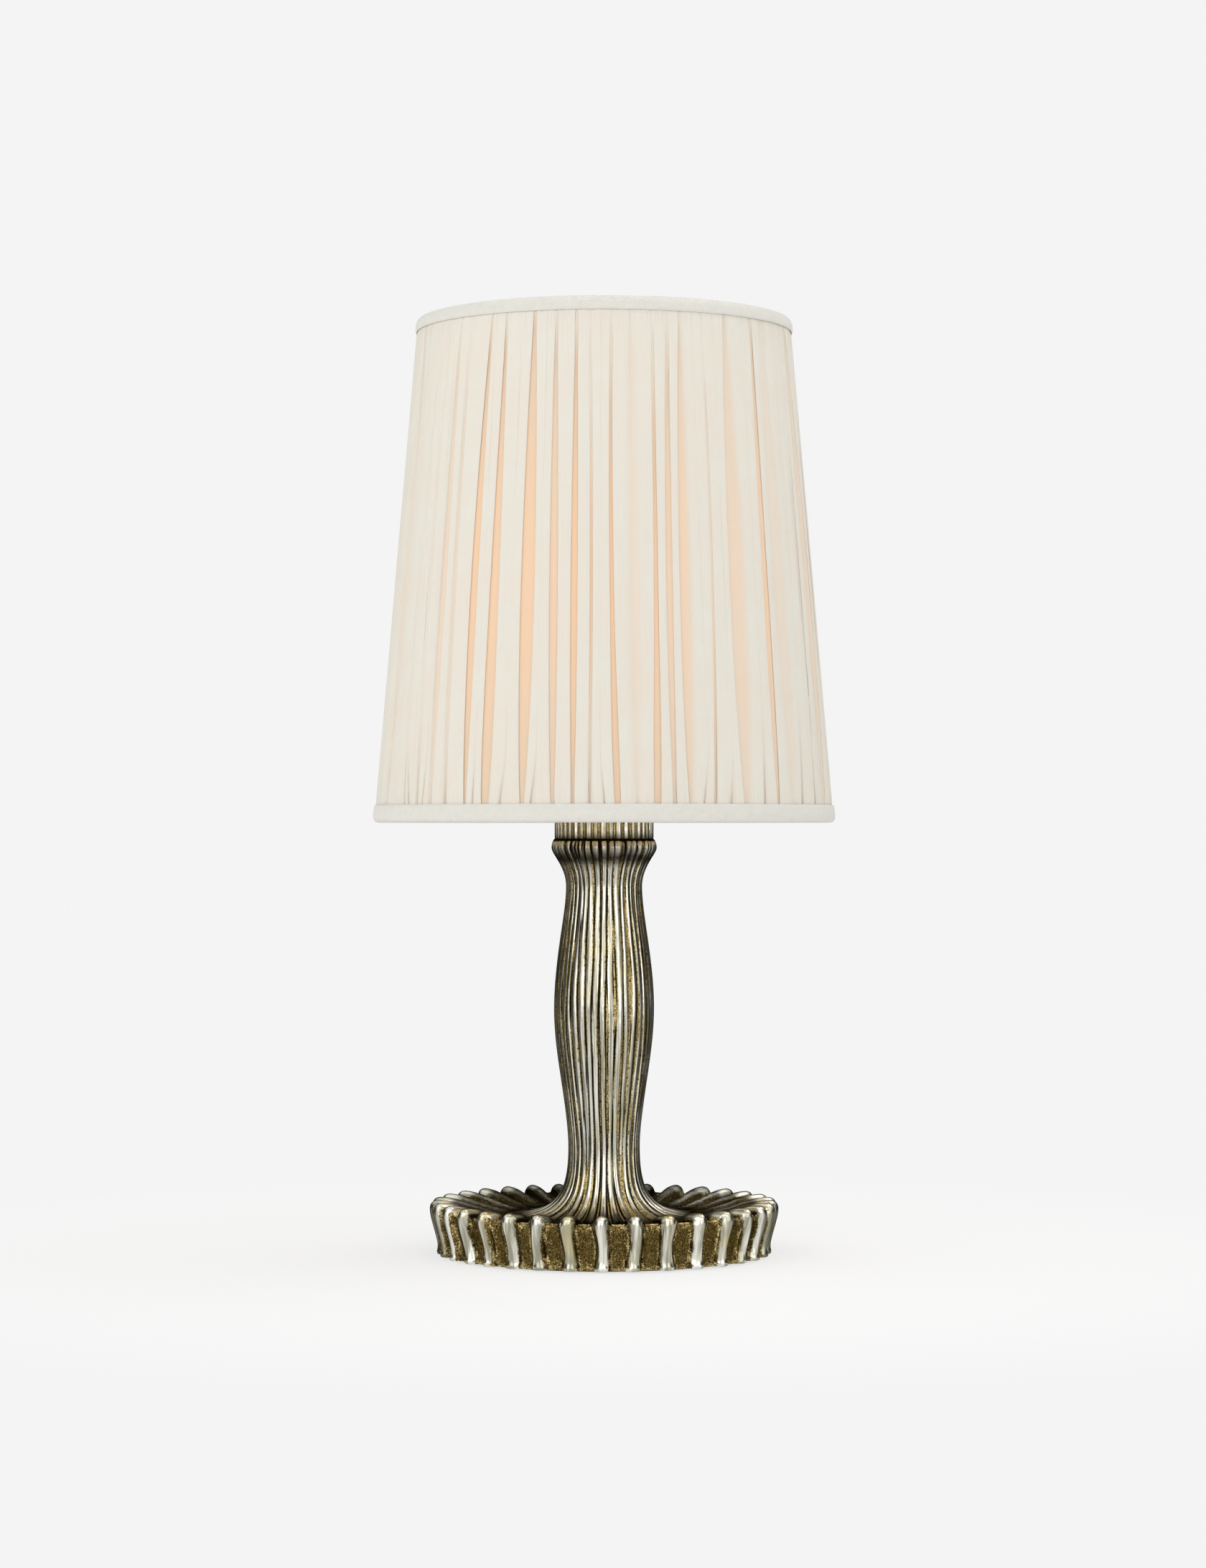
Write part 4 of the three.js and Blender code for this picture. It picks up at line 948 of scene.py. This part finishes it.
def turned_finial():
    """The round nut that holds the shade down, with a collar, a waist and a pointed knob."""
    bottom = 364.2
    outline = [(0, 8.4), (3.3, 8.4), (3.3, 0), (7.2, 0), (7.6, 0.4), (7.6, 1.8), (7.2, 2.4)]
    waist, belly, tip = (4.7, 5.3), (7.6, 12.8), (2.2, 20.8)
    outline += bend(outline[-1], (5.6, 3.0), (4.7, 4.0), waist, 6)
    outline += bend(waist, (4.7, 7.4), (7.6, 8.6), belly, 8)
    outline += bend(belly, (7.6, 16.6), (4.2, 18.8), tip, 8)
    outline += bend(tip, (1.6, 21.6), (0.8, 22), (0, 22), 4)
    outline = [(radius, high + bottom) for radius, high in outline]
    piece("turned_finial", turned(outline, 48), brass, "finial_nut", "finial")


def bent_harp():
    """The wire bow round the bulb, from one foot over the top to the other, as a curve.
    Each point of its route is (across, high), with the handles before and after it."""
    wire_radius = 1.6
    foot, straight, bow_high, top = 197.4, 225.4, 275.4, 358.4
    leg, bow = 29.4, 50
    right = [((leg, foot), (leg, foot - 5), (leg, foot + 9))]
    right.append(((leg, straight), (leg, straight - 9), (leg, straight + 12.5)))
    right.append(((bow, bow_high), (bow, bow_high - 25), (bow, foot + 128.8)))
    route = right + [((0, top), (bow / 2, top), (-bow / 2, top))]
    for place, before, after in right[::-1]:
        route.append(tuple((-across, high) for across, high in (place, after, before)))
    path = bpy.data.curves.new("bent_harp", "CURVE")
    path.dimensions = "3D"
    path.resolution_u = 12
    path.bevel_depth = mm(wire_radius)
    path.bevel_resolution = 4
    path.use_fill_caps = True
    spline = path.splines.new("BEZIER")
    spline.bezier_points.add(len(route) - 1)
    for point, parts in zip(spline.bezier_points, route):
        place, before, after = [mm(across, 0, high) for across, high in parts]
        point.co = place
        point.handle_left_type = point.handle_right_type = "FREE"
        point.handle_left = before
        point.handle_right = after
    show("bent_harp", path, brass, "lamp", "harp")


globe()
lining()
lower_ring()
turned_finial()
bent_harp()

# The CAD nodes that keep their shapes, by finish
carried = {
    zinc: [
        "base_plate", "base_screw_1", "base_screw_2", "base_screw_3", "nipple", "nipple_nut", "harp_saddle",
        "charging_port", "centre_contact", "bulb_cap",
    ],
    brass: [
        "socket_cap", "socket_sleeve", "screw_shell", "harp_stud", "left_ferrule", "right_ferrule",
        "spider_frame",
    ],
    iron: ["ballast_ring"],
    pad: ["felt_ring"],
    board: ["control_board", "led_board"],
    black: ["battery_cap", "dimmer_knob", "socket_core", "stem_lead", "battery_lead"],
    white: ["socket_liner", "bulb_collar"],
    sleeve: ["battery_pack"],
}
for material, nodes in carried.items():
    for node in nodes:
        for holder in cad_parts[node].material_slots:
            holder.material = material

# The studio

# The share of a direction that points back along Y: where the background behind the lamp starts, and where
# the wall of softboxes in front is full and where it ends
behind_from = 0.985
front_full, front_none = -0.5, -0.15


def stage_finish(name, build):
    material = bpy.data.materials.new(name)
    material.use_nodes = True
    nodes = Nodes(material.node_tree)
    nodes.add("ShaderNodeOutputMaterial", values={"Surface": build(nodes)})
    return material


def floor_finish(nodes):
    """A pale floor that keeps the lamp's shadow, passes into the background and shows softboxes to metal."""
    here = nodes.add("ShaderNodeTexCoord", output="Object")
    far = nodes.add("ShaderNodeVectorMath", {"operation": "LENGTH"}, {0: here}, 1)
    reach = far.ramp(0.12, 0.42)
    deep = nodes.add("ShaderNodeSeparateXYZ", values={0: here}, output=1) / far
    behind = deep.ramp(behind_from, 1.0)
    boxes = 1 - deep.ramp(front_full, front_none)
    glossy = nodes.add("ShaderNodeLightPath", output="Is Glossy Ray")
    front = glossy * (1 - behind)
    strength = 1 + 0.1 * (1 - reach) - 0.9 * front * (1 - 0.8 * boxes)
    near = nodes.add("ShaderNodeBsdfDiffuse", values={"Color": colour("FAFAFA")})
    glow = nodes.add("ShaderNodeEmission", values={"Color": colour("F4F4F4"), "Strength": strength})
    share = 0.66 + 0.2 * front + 0.34 * reach
    return nodes.add("ShaderNodeMixShader", values={0: share, 1: near, 2: glow})


floor_shape = bmesh.new()
bmesh.ops.create_circle(floor_shape, cap_ends=True, segments=64, radius=40)
floor_mesh = bpy.data.meshes.new("floor")
floor_shape.to_mesh(floor_mesh)
floor_shape.free()
floor = bpy.data.objects.new("floor", floor_mesh)
bpy.context.scene.collection.objects.link(floor)
floor_mesh.materials.append(stage_finish("floor", floor_finish))

# The world: the plain background to the camera, a dim room with bright sides to the cloth, and to shiny metal
# also the softboxes' wall in front and a bright ceiling
world = bpy.data.worlds.new("studio")
bpy.context.scene.world = world
world.use_nodes = True
sky = Nodes(world.node_tree)
seen = sky.add("ShaderNodeLightPath", output="Is Camera Ray")
through = sky.add("ShaderNodeLightPath", output="Is Transmission Ray")
glossy = sky.add("ShaderNodeLightPath", output="Is Glossy Ray")
toward = sky.add("ShaderNodeTexCoord", output="Generated")
across, depth, up = [sky.add("ShaderNodeSeparateXYZ", values={0: toward}, output=axis) for axis in range(3)]
low_behind = glossy * depth.ramp(behind_from, 1.0) * (1 - up.ramp(0.03, 0.09))
shown = (seen + through + low_behind).ramp(0, 1)
sides = 0.08 + 1.5 * across * across - 0.3 * across
wall = (1 - depth.ramp(front_full, front_none)) * (1 - up.ramp(0.55, 0.8))
strength = glossy * (0.05 + 0.9 * up.ramp(0.35, 0.8) + 0.75 * wall) + (1 - glossy) * sides
room = sky.add("ShaderNodeBackground", values={"Color": colour("F6F6F4"), "Strength": strength})
backdrop = sky.add("ShaderNodeBackground", values={"Color": colour("F4F4F4"), "Strength": 1.0})
both = sky.add("ShaderNodeMixShader", values={0: shown, 1: room, 2: backdrop})
sky.add("ShaderNodeOutputWorld", values={"Surface": both})


def softbox(name, place, target, width, height, power):
    light = bpy.data.lights.new(name, "AREA")
    light.shape = "RECTANGLE"
    light.size = width
    light.size_y = height
    light.energy = power
    lamp = bpy.data.objects.new(name, light)
    lamp.location = place
    lamp.rotation_euler = (Vector(target) - Vector(place)).to_track_quat("-Z", "Y").to_euler()
    lamp.visible_camera = False
    bpy.context.scene.collection.objects.link(lamp)


lamp_middle = (0, 0, 0.3)
softbox("left_box", (-0.78, -1.4, 0.8), lamp_middle, 1.3, 1.8, 8.3)
softbox("right_box", (0.76, -1.41, 0.8), lamp_middle, 1.3, 1.8, 8.2)
softbox("top_box", (0.4, 0.1, 1.5), (0, 0, 0.1), 1.0, 1.0, 7.6)

view = bpy.data.cameras.new("view")
view.lens = 86.08
view.sensor_width = 36
view.shift_x = -0.0007
view.shift_y = 0.0272
view.clip_start = 0.1
view.clip_end = 100
camera = bpy.data.objects.new("view", view)
camera.location = (0, -1.524, 0.1739)
camera.rotation_euler = (math.radians(90), 0, 0)
bpy.context.scene.collection.objects.link(camera)
bpy.context.scene.camera = camera
bpy.context.scene.view_settings.view_transform = "Standard"
